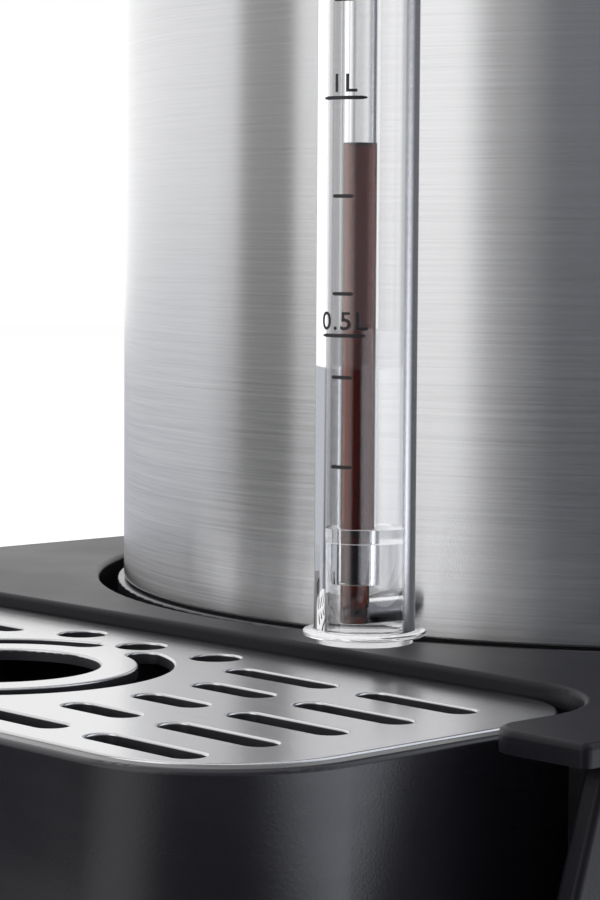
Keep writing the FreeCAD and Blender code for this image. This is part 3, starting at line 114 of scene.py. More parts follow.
class AirpotColours(bpy.types.PropertyGroup):
    """Colours of the finishes."""
    stand: bpy.props.FloatVectorProperty(
        name="Stand", description="Moulded plastic of the stand", subtype="COLOR", size=3,
        min=0.0, max=1.0, default=(0.0062, 0.006, 0.0088))
    tray: bpy.props.FloatVectorProperty(
        name="Tray", description="Satin plastic of the drip tray", subtype="COLOR", size=3,
        min=0.0, max=1.0, default=(0.0092, 0.009, 0.0128))
    lid: bpy.props.FloatVectorProperty(
        name="Lid", description="Semi-gloss plastic of the collar, lid and handle",
        subtype="COLOR", size=3,
        min=0.0, max=1.0, default=(0.014, 0.0145, 0.018))
    pump: bpy.props.FloatVectorProperty(
        name="Push plate", description="Satin plastic of the push plate and catches",
        subtype="COLOR", size=3,
        min=0.0, max=1.0, default=(0.026, 0.027, 0.032))
    steel: bpy.props.FloatVectorProperty(
        name="Steel", description="Brushed steel of the body and the grate", subtype="COLOR", size=3,
        min=0.0, max=1.0, default=(0.63, 0.63, 0.64))
    drink: bpy.props.FloatVectorProperty(
        name="Drink", description="What the drink lets through", subtype="COLOR", size=3,
        min=0.0, max=1.0, default=(0.67, 0.32, 0.09))
    ink: bpy.props.FloatVectorProperty(
        name="Ink", description="Printed litre scale", subtype="COLOR", size=3,
        min=0.0, max=1.0, default=(0.006, 0.006, 0.008))


def sizes():
    return bpy.context.scene.airpot_sizes


def colours():
    return bpy.context.scene.airpot_colours


# Selecting, modelling and finishing

def deselect():
    if bpy.context.object is not None and bpy.context.object.mode != "OBJECT":
        bpy.ops.object.mode_set(mode="OBJECT")
    bpy.ops.object.select_all(action="DESELECT")


def pick(piece):
    """Makes a piece the only selected one."""
    deselect()
    piece.select_set(True)
    bpy.context.view_layer.objects.active = piece


def edit(piece):
    pick(piece)
    bpy.ops.object.mode_set(mode="EDIT")


def leave_edit():
    bpy.ops.object.mode_set(mode="OBJECT")


def name_piece(name):
    piece = bpy.context.object
    piece.name = name
    piece.data.name = name
    return piece


def apply_place(piece):
    pick(piece)
    bpy.ops.object.transform_apply(location=True, rotation=True, scale=True)


def apply_modifier(piece, kind, **settings):
    pick(piece)
    modifier = piece.modifiers.new(kind.title(), kind)
    for key, value in settings.items():
        setattr(modifier, key, value)
    bpy.ops.object.modifier_apply(modifier=modifier.name)


def smooth(piece, degrees=32.0):
    """Soft shading over curves, with flat faces kept flat."""
    pick(piece)
    bpy.ops.object.shade_smooth_by_angle(angle=math.radians(degrees), keep_sharp_edges=False)
    apply_modifier(piece, "WEIGHTED_NORMAL", keep_sharp=True, weight=80)


def tidy_normals(piece):
    edit(piece)
    bpy.ops.mesh.select_all(action="SELECT")
    bpy.ops.mesh.remove_doubles(threshold=1e-6)
    bpy.ops.mesh.normals_make_consistent(inside=False)
    leave_edit()


def softened(points, radii, steps=4, closed=True):
    """A half section of (radius, height) points with its corners rounded."""
    out = []
    count = len(points)
    for i, point in enumerate(points):
        radius = radii[i] if isinstance(radii, (list, tuple)) else radii
        if radius <= 0 or (not closed and i in (0, count - 1)):
            out.append(point)
            continue
        here = Vector(point)
        before = Vector(points[i - 1]) - here
        after = Vector(points[(i + 1) % count]) - here
        half = before.angle(after) / 2
        reach = min(radius / math.tan(half), before.length * 0.49, after.length * 0.49)
        radius = reach * math.tan(half)
        bisector = (before.normalized() + after.normalized()).normalized()
        centre = here + bisector * (radius / math.sin(half))
        first = here + before.normalized() * reach - centre
        last = here + after.normalized() * reach - centre
        turn = first.angle_signed(last)
        for k in range(steps + 1):
            a = -turn * k / steps
            out.append(tuple(centre + Matrix.Rotation(a, 2) @ first))
    return out


def turned(name, section, x, y, segments=128, closed=True):
    """A piece of revolution, spun from its half section of (radius, height) points in mm."""
    deselect()
    bpy.ops.mesh.primitive_plane_add(size=MM, location=(0, 0, 0))
    piece = name_piece(name)
    edit(piece)
    bpy.ops.mesh.select_all(action="SELECT")
    bpy.ops.mesh.merge(type="CENTER")
    start = Vector((x + section[0][0] * MM, y, section[0][1] * MM))
    bpy.ops.transform.translate(value=start)
    points = list(section) + ([section[0]] if closed else [])
    for before, point in zip(points, points[1:]):
        step = ((point[0] - before[0]) * MM, 0, (point[1] - before[1]) * MM)
        bpy.ops.mesh.extrude_vertices_move(TRANSFORM_OT_translate={"value": step})
    bpy.ops.mesh.select_all(action="SELECT")
    bpy.ops.mesh.remove_doubles(threshold=1e-7)
    bpy.ops.mesh.select_all(action="SELECT")
    bpy.ops.mesh.spin(steps=segments, angle=2 * math.pi, center=(x, y, 0), axis=(0, 0, 1))
    bpy.ops.mesh.select_all(action="SELECT")
    bpy.ops.mesh.remove_doubles(threshold=1e-6)
    bpy.ops.mesh.select_all(action="SELECT")
    bpy.ops.mesh.normals_make_consistent(inside=False)
    leave_edit()
    return piece


def copy_of(node):
    """A merged copy of a CAD piece, with whole flat faces again."""
    source = NODES[node]
    piece = bpy.data.objects.new(node + "_finish", source.data.copy())
    piece.data.name = piece.name
    bpy.context.scene.collection.objects.link(piece)
    pick(piece)
    if piece.data.has_custom_normals:
        bpy.ops.mesh.customdata_custom_splitnormals_clear()
    edit(piece)
    bpy.ops.mesh.select_all(action="SELECT")
    bpy.ops.mesh.remove_doubles(threshold=2e-6)
    bpy.ops.mesh.select_all(action="SELECT")
    bpy.ops.mesh.dissolve_limited(angle_limit=math.radians(FLAT_WITHIN))
    leave_edit()
    return piece


def paint(piece, *materials):
    piece.data.materials.clear()
    for material in materials:
        piece.data.materials.append(material)


def fit(piece, body, replaces=()):
    """Puts a finished piece on its body, in the place of CAD pieces."""
    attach(piece, body)
    if replaces:
        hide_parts(*replaces)
    return piece


def body_of(node):
    return next(b for b, members in frame["record"]["behaviour"]["bodies"].items() if node in members)


def dress_copy(node, material):
    """A CAD piece's merged copy with soft shading stands for it."""
    piece = copy_of(node)
    smooth(piece)
    paint(piece, material)
    return fit(piece, body_of(node), (node,))


def dress_node(node, material):
    """A CAD piece stays as it is and gets its material."""
    paint(NODES[node], material)


# Materials

def new_material(name):
    material = bpy.data.materials.new(name)
    material.use_nodes = True
    tree = material.node_tree
    shader = tree.nodes["Principled BSDF"]
    return material, tree, shader


def node(tree, kind, **settings):
    made = tree.nodes.new("ShaderNode" + kind)
    for key, value in settings.items():
        if hasattr(made, key):
            setattr(made, key, value)
        else:
            made.inputs[key.replace("_", " ").title()].default_value = value
    return made


def place_of(tree, scale=(1, 1, 1), place=(0, 0, 0), turn=(0, 0, 0)):
    """Object coordinates through a mapping."""
    spot = node(tree, "TexCoord")
    mapping = node(tree, "Mapping")
    mapping.inputs["Scale"].default_value = scale
    mapping.inputs["Location"].default_value = place
    mapping.inputs["Rotation"].default_value = turn
    tree.links.new(spot.outputs["Object"], mapping.inputs["Vector"])
    return mapping.outputs["Vector"]


def noise(tree, where, scale, detail=2.0, rough=0.5):
    made = node(tree, "TexNoise")
    made.inputs["Scale"].default_value = scale
    made.inputs["Detail"].default_value = detail
    made.inputs["Roughness"].default_value = rough
    tree.links.new(where, made.inputs["Vector"])
    return made.outputs["Fac"]


def spread(tree, value, low, high, from_low=0.3, from_high=0.7):
    made = node(tree, "MapRange")
    made.inputs["From Min"].default_value = from_low
    made.inputs["From Max"].default_value = from_high
    made.inputs["To Min"].default_value = low
    made.inputs["To Max"].default_value = high
    tree.links.new(value, made.inputs["Value"])
    return made.outputs["Result"]


def tones(tree, value, stops):
    """A colour ramp of (place, colour) stops."""
    made = node(tree, "ValToRGB")
    ramp = made.color_ramp
    while len(ramp.elements) < len(stops):
        ramp.elements.new(0.5)
    for element, (place, colour) in zip(ramp.elements, stops):
        element.position = place
        element.color = (*colour, 1.0)
    tree.links.new(value, made.inputs["Fac"])
    return made.outputs["Color"]


def bump(tree, heights, shader):
    """Bumps of (height, depth in m), one over the other, into the shader's normal."""
    last = None
    for height, depth in heights:
        made = node(tree, "Bump")
        made.inputs["Strength"].default_value = 1.0
        made.inputs["Distance"].default_value = depth
        tree.links.new(height, made.inputs["Height"])
        if last is not None:
            tree.links.new(last, made.inputs["Normal"])
        last = made.outputs["Normal"]
    tree.links.new(last, shader.inputs["Normal"])


def moulded_plastic(name, colour, rough, grain=1.0, level=0.5):
    """Moulded plastic with a fine grain, faint cloudiness and slight wipe marks."""
    material, tree, shader = new_material(name)
    where = place_of(tree)
    fine = noise(tree, where, 1.0 / GRAIN_SIZE, 3.0, 0.6)
    cloud = noise(tree, where, 28.0, 4.0, 0.55)
    wiped = noise(tree, place_of(tree, (30.0, 30.0, 220.0), turn=(0.0, 0.35, 0.6)), 1.0, 3.0, 0.6)
    darker = tuple(c * 0.82 for c in colour)
    lighter = tuple(min(1.0, c * 1.22 + 0.0012) for c in colour)
    tree.links.new(tones(tree, cloud, [(0.3, darker), (0.5, colour), (0.72, lighter)]),
                   shader.inputs["Base Color"])
    both = node(tree, "Math", operation="MULTIPLY_ADD")
    tree.links.new(wiped, both.inputs[0])
    both.inputs[1].default_value = 0.5
    tree.links.new(cloud, both.inputs[2])
    tree.links.new(spread(tree, both.outputs[0], rough - 0.05, rough + 0.06, 0.5, 1.0),
                   shader.inputs["Roughness"])
    shader.inputs["Specular IOR Level"].default_value = level
    depth = sizes().grain_depth * grain
    bump(tree, [(fine, depth), (cloud, depth * 4)], shader)
    return material


def brushed_steel(name, colour, rough, along, length=0.02, width=0.00018, aniso=0.0, depth=1.0, uv=None):
    """Steel with fine lines that run around the upright axis, or along x on a flat sheet."""
    material, tree, shader = new_material(name)
    long_way, short_way = 1.0 / length, 1.0 / width
    scale = {"around": (long_way, long_way, short_way), "x": (long_way, short_way, short_way)}[along]
    coarse = tuple(s * 0.35 for s in scale)
    lines = noise(tree, place_of(tree, scale), 1.0, 3.0, 0.65)
    bands = noise(tree, place_of(tree, coarse), 1.0, 4.0, 0.6)
    cloud = noise(tree, place_of(tree), 22.0, 3.0, 0.5)
    both = node(tree, "Math", operation="MULTIPLY_ADD")
    tree.links.new(bands, both.inputs[0])
    both.inputs[1].default_value = 0.8
    tree.links.new(lines, both.inputs[2])
    tone = both.outputs[0]
    darker = tuple(c * 0.9 for c in colour)
    lighter = tuple(min(1.0, c * 1.07) for c in colour)
    tree.links.new(tones(tree, spread(tree, tone, 0.0, 1.0, 0.6, 1.2),
                         [(0.0, darker), (0.5, colour), (1.0, lighter)]), shader.inputs["Base Color"])
    shader.inputs["Metallic"].default_value = 1.0
    rough_mix = node(tree, "Math", operation="MULTIPLY_ADD")
    tree.links.new(cloud, rough_mix.inputs[0])
    rough_mix.inputs[1].default_value = 0.6
    tree.links.new(tone, rough_mix.inputs[2])
    tree.links.new(spread(tree, rough_mix.outputs[0], rough - 0.035, rough + 0.05, 0.8, 1.6),
                   shader.inputs["Roughness"])
    if aniso:
        shader.inputs["Anisotropic"].default_value = aniso
        tangent = node(tree, "Tangent", direction_type="UV_MAP", uv_map=uv)
        tree.links.new(tangent.outputs["Tangent"], shader.inputs["Tangent"])
    bump(tree, [(lines, sizes().brush_depth * depth), (bands, sizes().brush_depth * depth * 1.4)], shader)
    return material


def rubber(name, colour, rough=0.7):
    """Rubber with a dull, slightly dusty skin."""
    material, tree, shader = new_material(name)
    where = place_of(tree)
    fine = noise(tree, where, 1400.0, 3.0, 0.6)
    dust = noise(tree, where, 60.0, 5.0, 0.6)
    lighter = tuple(c * 1.5 + 0.01 for c in colour)
    tree.links.new(tones(tree, dust, [(0.35, colour), (0.75, lighter)]), shader.inputs["Base Color"])
    tree.links.new(spread(tree, dust, rough - 0.06, rough + 0.1), shader.inputs["Roughness"])
    shader.inputs["Specular IOR Level"].default_value = 0.35
    bump(tree, [(fine, 0.00004)], shader)
    return material


def silicone(name, colour):
    """Milky soft silicone."""
    material, tree, shader = new_material(name)
    cloud = noise(tree, place_of(tree), 90.0, 3.0, 0.5)
    darker = tuple(c * 0.86 for c in colour)
    tree.links.new(tones(tree, cloud, [(0.3, darker), (0.7, colour)]), shader.inputs["Base Color"])
    tree.links.new(spread(tree, cloud, 0.38, 0.5), shader.inputs["Roughness"])
    shader.inputs["Subsurface Weight"].default_value = 0.15
    shader.inputs["Subsurface Radius"].default_value = (0.002, 0.0016, 0.0012)
    bump(tree, [(noise(tree, place_of(tree), 500.0, 2.0, 0.5), 0.00002)], shader)
    return material


def plain_steel(name, colour, rough):
    """Turned or drawn steel for pins, screws and springs."""
    material, tree, shader = new_material(name)
    fine = noise(tree, place_of(tree), 900.0, 4.0, 0.6)
    cloud = noise(tree, place_of(tree), 120.0, 3.0, 0.5)
    darker = tuple(c * 0.8 for c in colour)
    tree.links.new(tones(tree, cloud, [(0.3, darker), (0.7, colour)]), shader.inputs["Base Color"])
    shader.inputs["Metallic"].default_value = 1.0
    tree.links.new(spread(tree, fine, rough - 0.05, rough + 0.08), shader.inputs["Roughness"])
    bump(tree, [(fine, 0.000006)], shader)
    return material


def clear_plastic(name, tint, rough=0.0, ior=1.49, waves=0.0):
    """Clear tube, with the faint waves of a drawn or moulded wall."""
    material, tree, shader = new_material(name)
    faint = noise(tree, place_of(tree, (500.0, 500.0, 9.0)), 1.0, 2.0, 0.5)
    lighter = tuple(min(1.0, c * 1.01) for c in tint)
    tree.links.new(tones(tree, faint, [(0.3, tint), (0.7, lighter)]), shader.inputs["Base Color"])
    shader.inputs["Transmission Weight"].default_value = 1.0
    shader.inputs["IOR"].default_value = ior
    tree.links.new(spread(tree, faint, rough, rough + 0.01), shader.inputs["Roughness"])
    if waves:
        bump(tree, [(faint, waves)], shader)
    return material


def drink(name):
    """Thin coffee: clear, with its colour from its depth."""
    material, tree, shader = new_material(name)
    clear = noise(tree, place_of(tree), 200.0, 1.0, 0.5)
    tree.links.new(tones(tree, clear, [(0.3, (0.97, 0.94, 0.9)), (0.7, (1.0, 0.97, 0.94))]),
                   shader.inputs["Base Color"])
    shader.inputs["Transmission Weight"].default_value = 1.0
    shader.inputs["Roughness"].default_value = 0.0
    shader.inputs["IOR"].default_value = 1.34
    depth = node(tree, "VolumeAbsorption")
    depth.inputs["Color"].default_value = (*colours().drink, 1.0)
    depth.inputs["Density"].default_value = 3000.0
    out = tree.nodes["Material Output"]
    tree.links.new(depth.outputs["Volume"], out.inputs["Volume"])
    return material


def ink(name):
    """Printed ink, slightly uneven."""
    material, tree, shader = new_material(name)
    speck = noise(tree, place_of(tree), 6000.0, 2.0, 0.5)
    tree.links.new(tones(tree, speck, [(0.3, colours().ink), (0.8, tuple(c * 2 for c in colours().ink))]),
                   shader.inputs["Base Color"])
    tree.links.new(spread(tree, speck, 0.35, 0.5), shader.inputs["Roughness"])
    bump(tree, [(speck, 0.000004)], shader)
    return material


MATERIALS = {}


def make_materials():
    c = colours()
    m = MATERIALS
    m["stand"] = moulded_plastic("stand_moulded_plastic", tuple(c.stand), 0.38, 1.0, level=0.15)
    m["base"] = moulded_plastic("base_matte_plastic", tuple(v * 0.9 for v in c.stand), 0.55, 1.4)
    m["tray"] = moulded_plastic("tray_satin_plastic", tuple(c.tray), 0.28, 0.5)
    m["foot"] = moulded_plastic("foot_ring_plastic", tuple(c.lid), 0.25, 0.3)
    m["lid"] = moulded_plastic("lid_semi_gloss_plastic", tuple(c.lid), 0.24, 0.25)
    m["pump"] = moulded_plastic("push_plate_satin_plastic", tuple(c.pump), 0.4, 1.0)
    m["inner"] = moulded_plastic("inner_natural_plastic", (0.62, 0.6, 0.55), 0.4, 0.5)
    m["rubber"] = rubber("black_rubber", (0.012, 0.012, 0.013))
    m["silicone"] = silicone("milky_silicone", (0.62, 0.6, 0.55))
    m["shell"] = brushed_steel("body_brushed_steel", tuple(c.steel), 0.21, "around",
                               aniso=0.97, uv="around")
    m["grate"] = brushed_steel("grate_brushed_steel", tuple(v * 0.9 for v in c.steel), 0.2, "x",
                               length=0.03, width=0.00016, depth=0.5)
    # The grate's slot and hole walls get a near-black steel: painted shade inside the slots, not the
    # steel's own colour.
    m["punched"] = plain_steel("grate_punched_edge", (0.09, 0.09, 0.1), 0.5)
    m["vessel"] = brushed_steel("vessel_steel", tuple(v * 0.9 for v in c.steel), 0.24, "around",
                                length=0.03, width=0.0004)
    m["pin"] = plain_steel("pin_steel", (0.5, 0.5, 0.51), 0.3)
    m["spring"] = plain_steel("spring_wire", (0.4, 0.4, 0.41), 0.32)
    m["shield"] = clear_plastic("shield_clear_tube", (0.985, 0.985, 0.99), waves=0.000004)
    m["socket"] = clear_plastic("socket_clear_plastic", (0.97, 0.965, 0.96), 0.02, waves=0.00005)
    m["soft"] = clear_plastic("clear_soft_seal", (0.93, 0.93, 0.92), 0.12, ior=1.41)
    m["glass"] = clear_plastic("gauge_glass", (0.99, 0.99, 0.985), ior=1.47)
    m["drink"] = drink("coffee")
    m["ink"] = ink("scale_ink")


# Pieces that the photograph shows closely

def around_uv(piece, name):
    """A map whose first way is up the wall and whose second runs around the axis."""
    layer = piece.data.uv_layers.new(name=name)
    mesh = piece.data
    for face in mesh.polygons:
        middle = math.atan2(face.center.y - AXIS_Y, face.center.x - AXIS_X)
        for loop in face.loop_indices:
            at = mesh.vertices[mesh.loops[loop].vertex_index].co
            turn = math.atan2(at.y - AXIS_Y, at.x - AXIS_X)
            while turn - middle > math.pi:
                turn -= 2 * math.pi
            while turn - middle < -math.pi:
                turn += 2 * math.pi
            layer.data[loop].uv = (at.z, turn * TURN_SCALE)


class AIRPOT_OT_stand(bpy.types.Operator):
    """Dresses the stand: plate, skirt, bay, base, feet and screws"""
    bl_idname = "airpot.stand"
    bl_label = "Stand"

    def execute(self, context):
        m = MATERIALS
        dress_copy("stand_top", m["stand"])
        dress_copy("stand_skirt", m["stand"])
        dress_copy("tray_bay", m["base"])
        dress_copy("base_panel", m["base"])
        dress_copy("stand_feet", m["rubber"])
        dress_node("stand_screws", m["pin"])
        dress_copy("recess_pad", m["rubber"])
        return {"FINISHED"}


class AIRPOT_OT_tray(bpy.types.Operator):
    """Dresses the drip tray and its steel grate"""
    bl_idname = "airpot.tray"
    bl_label = "Tray and grate"

    def in_hole(self, spot, low, high):
        """Whether a side face belongs to a slot or a hole, and not to the sheet's rim."""
        rim = GRATE_RIM * MM
        corner = GRATE_CORNER_R * MM
        inside = low.x + rim < spot.x < high.x - rim and low.y + rim < spot.y < high.y - rim
        away = max(abs(spot.x - (low.x + high.x) / 2) - ((high.x - low.x) / 2 - corner), 0.0)
        ahead = max(low.y + corner - spot.y, 0.0)
        return inside and math.hypot(away, ahead) < corner - rim

    def execute(self, context):
        m = MATERIALS
        dress_copy("drip_tray", m["tray"])
        grate = dress_copy("drip_grate", m["grate"])
        # Side faces of the slots and holes take the near-black steel of painted shade as their second
        # material.
        grate.data.materials.append(m["punched"])
        low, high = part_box("drip_grate")
        for face in grate.data.polygons:
            if abs(face.normal.z) < 0.3 and self.in_hole(face.center, low, high):
                face.material_index = 1
        return {"FINISHED"}


class AIRPOT_OT_body(bpy.types.Operator):
    """Spins the steel body and dresses what closes it"""
    bl_idname = "airpot.body"
    bl_label = "Steel body"

    def execute(self, context):
        m = MATERIALS
        low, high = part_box("outer_shell")
        inner = SHELL_R - SHELL_WALL
        z0, z1 = low.z / MM, high.z / MM
        section = softened([(inner, z0), (SHELL_R, z0), (SHELL_R, z1), (inner, z1)], [0.1, 0.35, 0.2, 0.1])
        shell = turned("body_shell", section, AXIS_X, AXIS_Y, segments=256)
        smooth(shell, 40)
        around_uv(shell, "around")
        paint(shell, m["shell"])
        fit(shell, "airpot", ("outer_shell",))
        dress_copy("foot_ring", m["foot"])
        dress_node("bottom_cover", m["base"])
        dress_node("vessel_cushion", m["rubber"])
        dress_node("bottom_screws", m["pin"])
        for name in ("vessel_floor", "inner_vessel", "vessel_shoulder"):
            dress_copy(name, m["vessel"])
        dress_node("neck_ring", m["vessel"])
        dress_node("feed_pipe", m["vessel"])
        return {"FINISHED"}


def unmirrored(piece):
    """The steel behind the gauge shows its own sheen and not the gauge again."""
    piece.visible_glossy = False
    return piece


class AIRPOT_OT_gauge(bpy.types.Operator):
    """Spins the sight gauge's tubes and the drink in them"""
    bl_idname = "airpot.gauge"
    bl_label = "Sight gauge"

    def execute(self, context):
        m = MATERIALS
        plate = PLATE_Z / MM
        low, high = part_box("gauge_shield")
        z0, z1 = low.z / MM, high.z / MM
        flange = z0 + FLANGE_T
        section = softened([(SHIELD_BORE_R, z0), (FLANGE_R, z0), (FLANGE_R, flange), (SHIELD_R, flange),
                            (SHIELD_R, z1), (SHIELD_BORE_R, z1)], [0.1, 0.2, 0.3, 0.25, 0.2, 0.2])
        shield = turned("gauge_shield_tube", section, GAUGE_X, GAUGE_Y, segments=96)
        smooth(shield, 35)
        paint(shield, m["shield"])
        fit(unmirrored(shield), "airpot", ("gauge_shield",))
        low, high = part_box("gauge_tube")
        z0, z1 = low.z / MM, high.z / MM
        section = softened([(GLASS_BORE_R, z0), (GLASS_R, z0), (GLASS_R, z1), (GLASS_BORE_R, z1)], 0.2)
        tube = turned("gauge_glass_tube", section, TUBE_X, TUBE_Y, segments=72)
        smooth(tube, 35)
        paint(tube, m["glass"])
        fit(unmirrored(tube), "airpot", ("gauge_tube",))
        level = plate + sizes().drink_level / MM
        foot = plate + DRINK_FOOT
        r = GLASS_BORE_R + 0.02
        section = softened([(0.0, foot), (r, foot), (r, level + 0.4), (r - 0.5, level), (0.0, level - 0.1)],
                           [0, 0.3, 0.02, 0.3, 0], closed=False)
        column = turned("drink_in_gauge", section, TUBE_X, TUBE_Y, segments=72, closed=False)
        smooth(column, 35)
        paint(column, m["drink"])
        fit(unmirrored(column), "airpot")
        unmirrored(dress_copy("gauge_socket", m["socket"]))
        unmirrored(dress_copy("gauge_seals", m["soft"]))
        dress_copy("gauge_cap", m["lid"])
        return {"FINISHED"}


def wrap_on_shield(piece, radius, height):
    """Bends a flat print, drawn about the origin in x and y, around the shield's outward side."""
    for vertex in piece.data.vertices:
        turn = GAUGE_ANGLE + vertex.co.x / radius
        out = radius + vertex.co.z
        vertex.co = Vector((GAUGE_X + out * math.sin(turn), GAUGE_Y - out * math.cos(turn),
                            height + vertex.co.y))


class AIRPOT_OT_scale(bpy.types.Operator):
    """Prints the litre scale on the gauge's shield"""
    bl_idname = "airpot.scale"
    bl_label = "Litre scale"

    def mark(self, height, half_angle):
        """A printed line with softened ends."""
        radius = INK_R * MM
        half = math.radians(half_angle) * radius
        deselect()
        bpy.ops.mesh.primitive_cube_add(size=1.0, location=(0, 0, 0),
                                        scale=(2 * half, sizes().mark_line, INK_T * MM))
        mark = name_piece("scale_mark")
        apply_place(mark)
        edit(mark)
        bpy.ops.mesh.select_all(action="SELECT")
        bpy.ops.mesh.subdivide(number_cuts=9)
        leave_edit()
        for vertex in mark.data.vertices:
            end = abs(vertex.co.x) - (half - sizes().mark_line / 2)
            if end > 0:
                lean = min(1.0, end / (sizes().mark_line / 2))
                vertex.co.y *= math.sqrt(max(0.0, 1.0 - 0.8 * lean * lean))
        wrap_on_shield(mark, radius, PLATE_Z + height * MM)
        return mark

    def label(self, height, text):
        """A printed number over its line."""
        deselect()
        bpy.ops.object.text_add(location=(0, 0, 0))
        label = bpy.context.object
        label.data.body = text
        label.data.size = sizes().label_height / CAPITAL_SHARE
        label.data.align_x = "CENTER"
        label.data.extrude = INK_T * MM / 2
        label.data.offset = 0.00004
        label.data.space_character = 1.15
        bpy.ops.object.convert(target="MESH")
        label = name_piece("scale_number")
        apply_place(label)
        edit(label)
        bpy.ops.mesh.select_all(action="SELECT")
        bpy.ops.mesh.remove_doubles(threshold=1e-7)
        bpy.ops.mesh.quads_convert_to_tris()
        bpy.ops.mesh.subdivide(number_cuts=1)
        leave_edit()
        for vertex in label.data.vertices:
            vertex.co.x *= LABEL_WIDTH
        wrap_on_shield(label, INK_R * MM, PLATE_Z + (height + LABEL_LIFT) * MM)
        return label

    def execute(self, context):
        m = MATERIALS
        heights = LOW_MARKS + [(1.0 + 0.2 * k, FIRST_EVEN_MARK + MARK_STEP * k) for k in range(EVEN_MARKS)]
        joined = []
        for litres, height in heights:
            long_mark = abs(litres * 2 - round(litres * 2)) < 0.01
            joined.append(self.mark(height, LONG_MARK_HALF if long_mark else SHORT_MARK_HALF))
            if long_mark:
                joined.append(self.label(height, f"{litres:g}L"))
        deselect()
        for piece in joined:
            piece.select_set(True)
        bpy.context.view_layer.objects.active = joined[0]
        bpy.ops.object.join()
        scale = name_piece("litre_scale")
        tidy_normals(scale)
        paint(scale, m["ink"])
        fit(unmirrored(scale), "airpot")
        return {"FINISHED"}


# Pieces above the photograph's frame

class AIRPOT_OT_neck(bpy.types.Operator):
    """Dresses the collar, the neck insert, the riser and the pins"""
    bl_idname = "airpot.neck"
    bl_label = "Collar and neck"

    def execute(self, context):
        m = MATERIALS
        dress_copy("collar", m["lid"])
        dress_copy("neck_insert", m["inner"])
        dress_node("neck_gasket", m["silicone"])
        dress_node("riser_tube", m["inner"])
        dress_node("riser_seal", m["silicone"])
        dress_copy("hinge_pin", m["pin"])
        dress_copy("handle_pins", m["pin"])
        return {"FINISHED"}


class AIRPOT_OT_lid(bpy.types.Operator):
    """Dresses the lid, its spout and its catches"""
    bl_idname = "airpot.lid"
    bl_label = "Lid and spout"

    def execute(self, context):
        m = MATERIALS
        dress_copy("lid_housing", m["lid"])
        dress_copy("pump_well", m["lid"])
        dress_copy("spout_housing", m["lid"])
        dress_copy("lid_inner_cover", m["inner"])
        dress_copy("spout_nozzle", m["lid"])
        dress_copy("spout_pipe", m["inner"])
        dress_copy("lid_latch", m["pump"])
        dress_copy("pump_lock", m["pump"])
        dress_node("bellows_base", m["inner"])
        for name in ("check_valve", "lid_gasket"):
            dress_node(name, m["silicone"])
        dress_node("lid_screws", m["pin"])
        dress_node("latch_spring", m["spring"])
        return {"FINISHED"}


class AIRPOT_OT_pump(bpy.types.Operator):
    """Dresses the push plate, the bellows and its spring"""
    bl_idname = "airpot.pump"
    bl_label = "Pump"

    def execute(self, context):
        m = MATERIALS
        dress_copy("push_plate", m["pump"])
        dress_node("air_valve", m["silicone"])
        dress_node("bellows", m["silicone"])
        dress_node("pump_spring", m["spring"])
        return {"FINISHED"}


class AIRPOT_OT_handle(bpy.types.Operator):
    """Dresses the carrying handle and its grip"""
    bl_idname = "airpot.handle"
    bl_label = "Handle"

    def execute(self, context):
        m = MATERIALS
        dress_copy("carry_handle", m["lid"])
        dress_copy("handle_grip", m["rubber"])
        return {"FINISHED"}


# Floor, light and camera

STAGE_R, WALL_H = 3.0, 5.0
# name, place, size and power
LAMPS = [
    ("overhead_box", (-0.1, -0.2, 1.25), 1.1, 11.0),
    ("front_box", (-0.75, -1.05, 0.75), 0.8, 7.0),
    ("side_box", (1.1, 0.2, 0.7), 0.7, 4.0),
    ("rear_box", (-0.3, 1.2, 0.8), 0.8, 4.0),
]
LAMP_AIM_Z = 0.15

# The photograph's camera: focal length in mm, place from the airpot's axis, and its right and back ways
LENS, SENSOR = 109.376, 36.0
EYE_X, EYE_BEFORE, EYE_Z = 0.27465, 0.32552, 0.11163
EYE_RIGHT = (0.6779, 0.7351, 0.0061)
EYE_BACK = (0.73257, -0.67624, 0.07773)

# A plain studio around the part: each panel's name, its two edges as angles from the front towards the
# right, its level and its tint. Between two panels the light fades.
NEUTRAL = (1.0, 1.0, 1.0)
COOL = (0.95, 0.98, 1.06)
WALL_PANELS = [
    ("left_soft_box", -180, -55, 1.2, NEUTRAL),
    ("dark_card", -51, -38, 0.5, NEUTRAL),
    ("front_soft_box", -35, 3, 1.5, NEUTRAL),
    ("grey_card", 9, 15, 0.6, NEUTRAL),
    ("dim_side", 22, 90, 0.3, COOL),
    ("back_soft_box", 130, 180, 1.2, COOL),
]
# The floor as gloss sees it: painted light and shade, in bands by angle around the part that glow in
# reflections only.
PAINTED_FLOOR_GLOSS = [
    ("floor_behind_left", -180, -130, 1.0, NEUTRAL),
    ("floor_left", -118, -60, 0.5, COOL),
    ("floor_painted_dark_band", -52, -20, 0.05, NEUTRAL),
    ("floor_front", -8, 4, 0.9, NEUTRAL),
    ("floor_dim_side", 16, 55, 0.05, COOL),
    ("floor_painted_glow", 76, 150, 2.5, COOL),
    ("floor_behind_right", 170, 180, 1.0, NEUTRAL),
]


def levels_of(panels):
    """The panels' edges as the stops of a colour ramp."""
    return [(angle, tuple(level * t for t in tint))
            for _, start, end, level, tint in panels for angle in (start, end)]


def surround(tree, levels):
    """The colour of what stands around the part, by the angle on Object coordinates."""
    parts = node(tree, "SeparateXYZ")
    tree.links.new(place_of(tree, place=(0.0, -AXIS_Y, 0.0)), parts.inputs[0])
    ahead = node(tree, "Math", operation="MULTIPLY")
    tree.links.new(parts.outputs["Y"], ahead.inputs[0])
    ahead.inputs[1].default_value = -1.0
    turn = node(tree, "Math", operation="ARCTAN2")
    tree.links.new(parts.outputs["X"], turn.inputs[0])
    tree.links.new(ahead.outputs[0], turn.inputs[1])
    share = spread(tree, turn.outputs[0], 0.0, 1.0, -math.pi, math.pi)
    return tones(tree, share, [((a + 180) / 360, c) for a, c in levels])


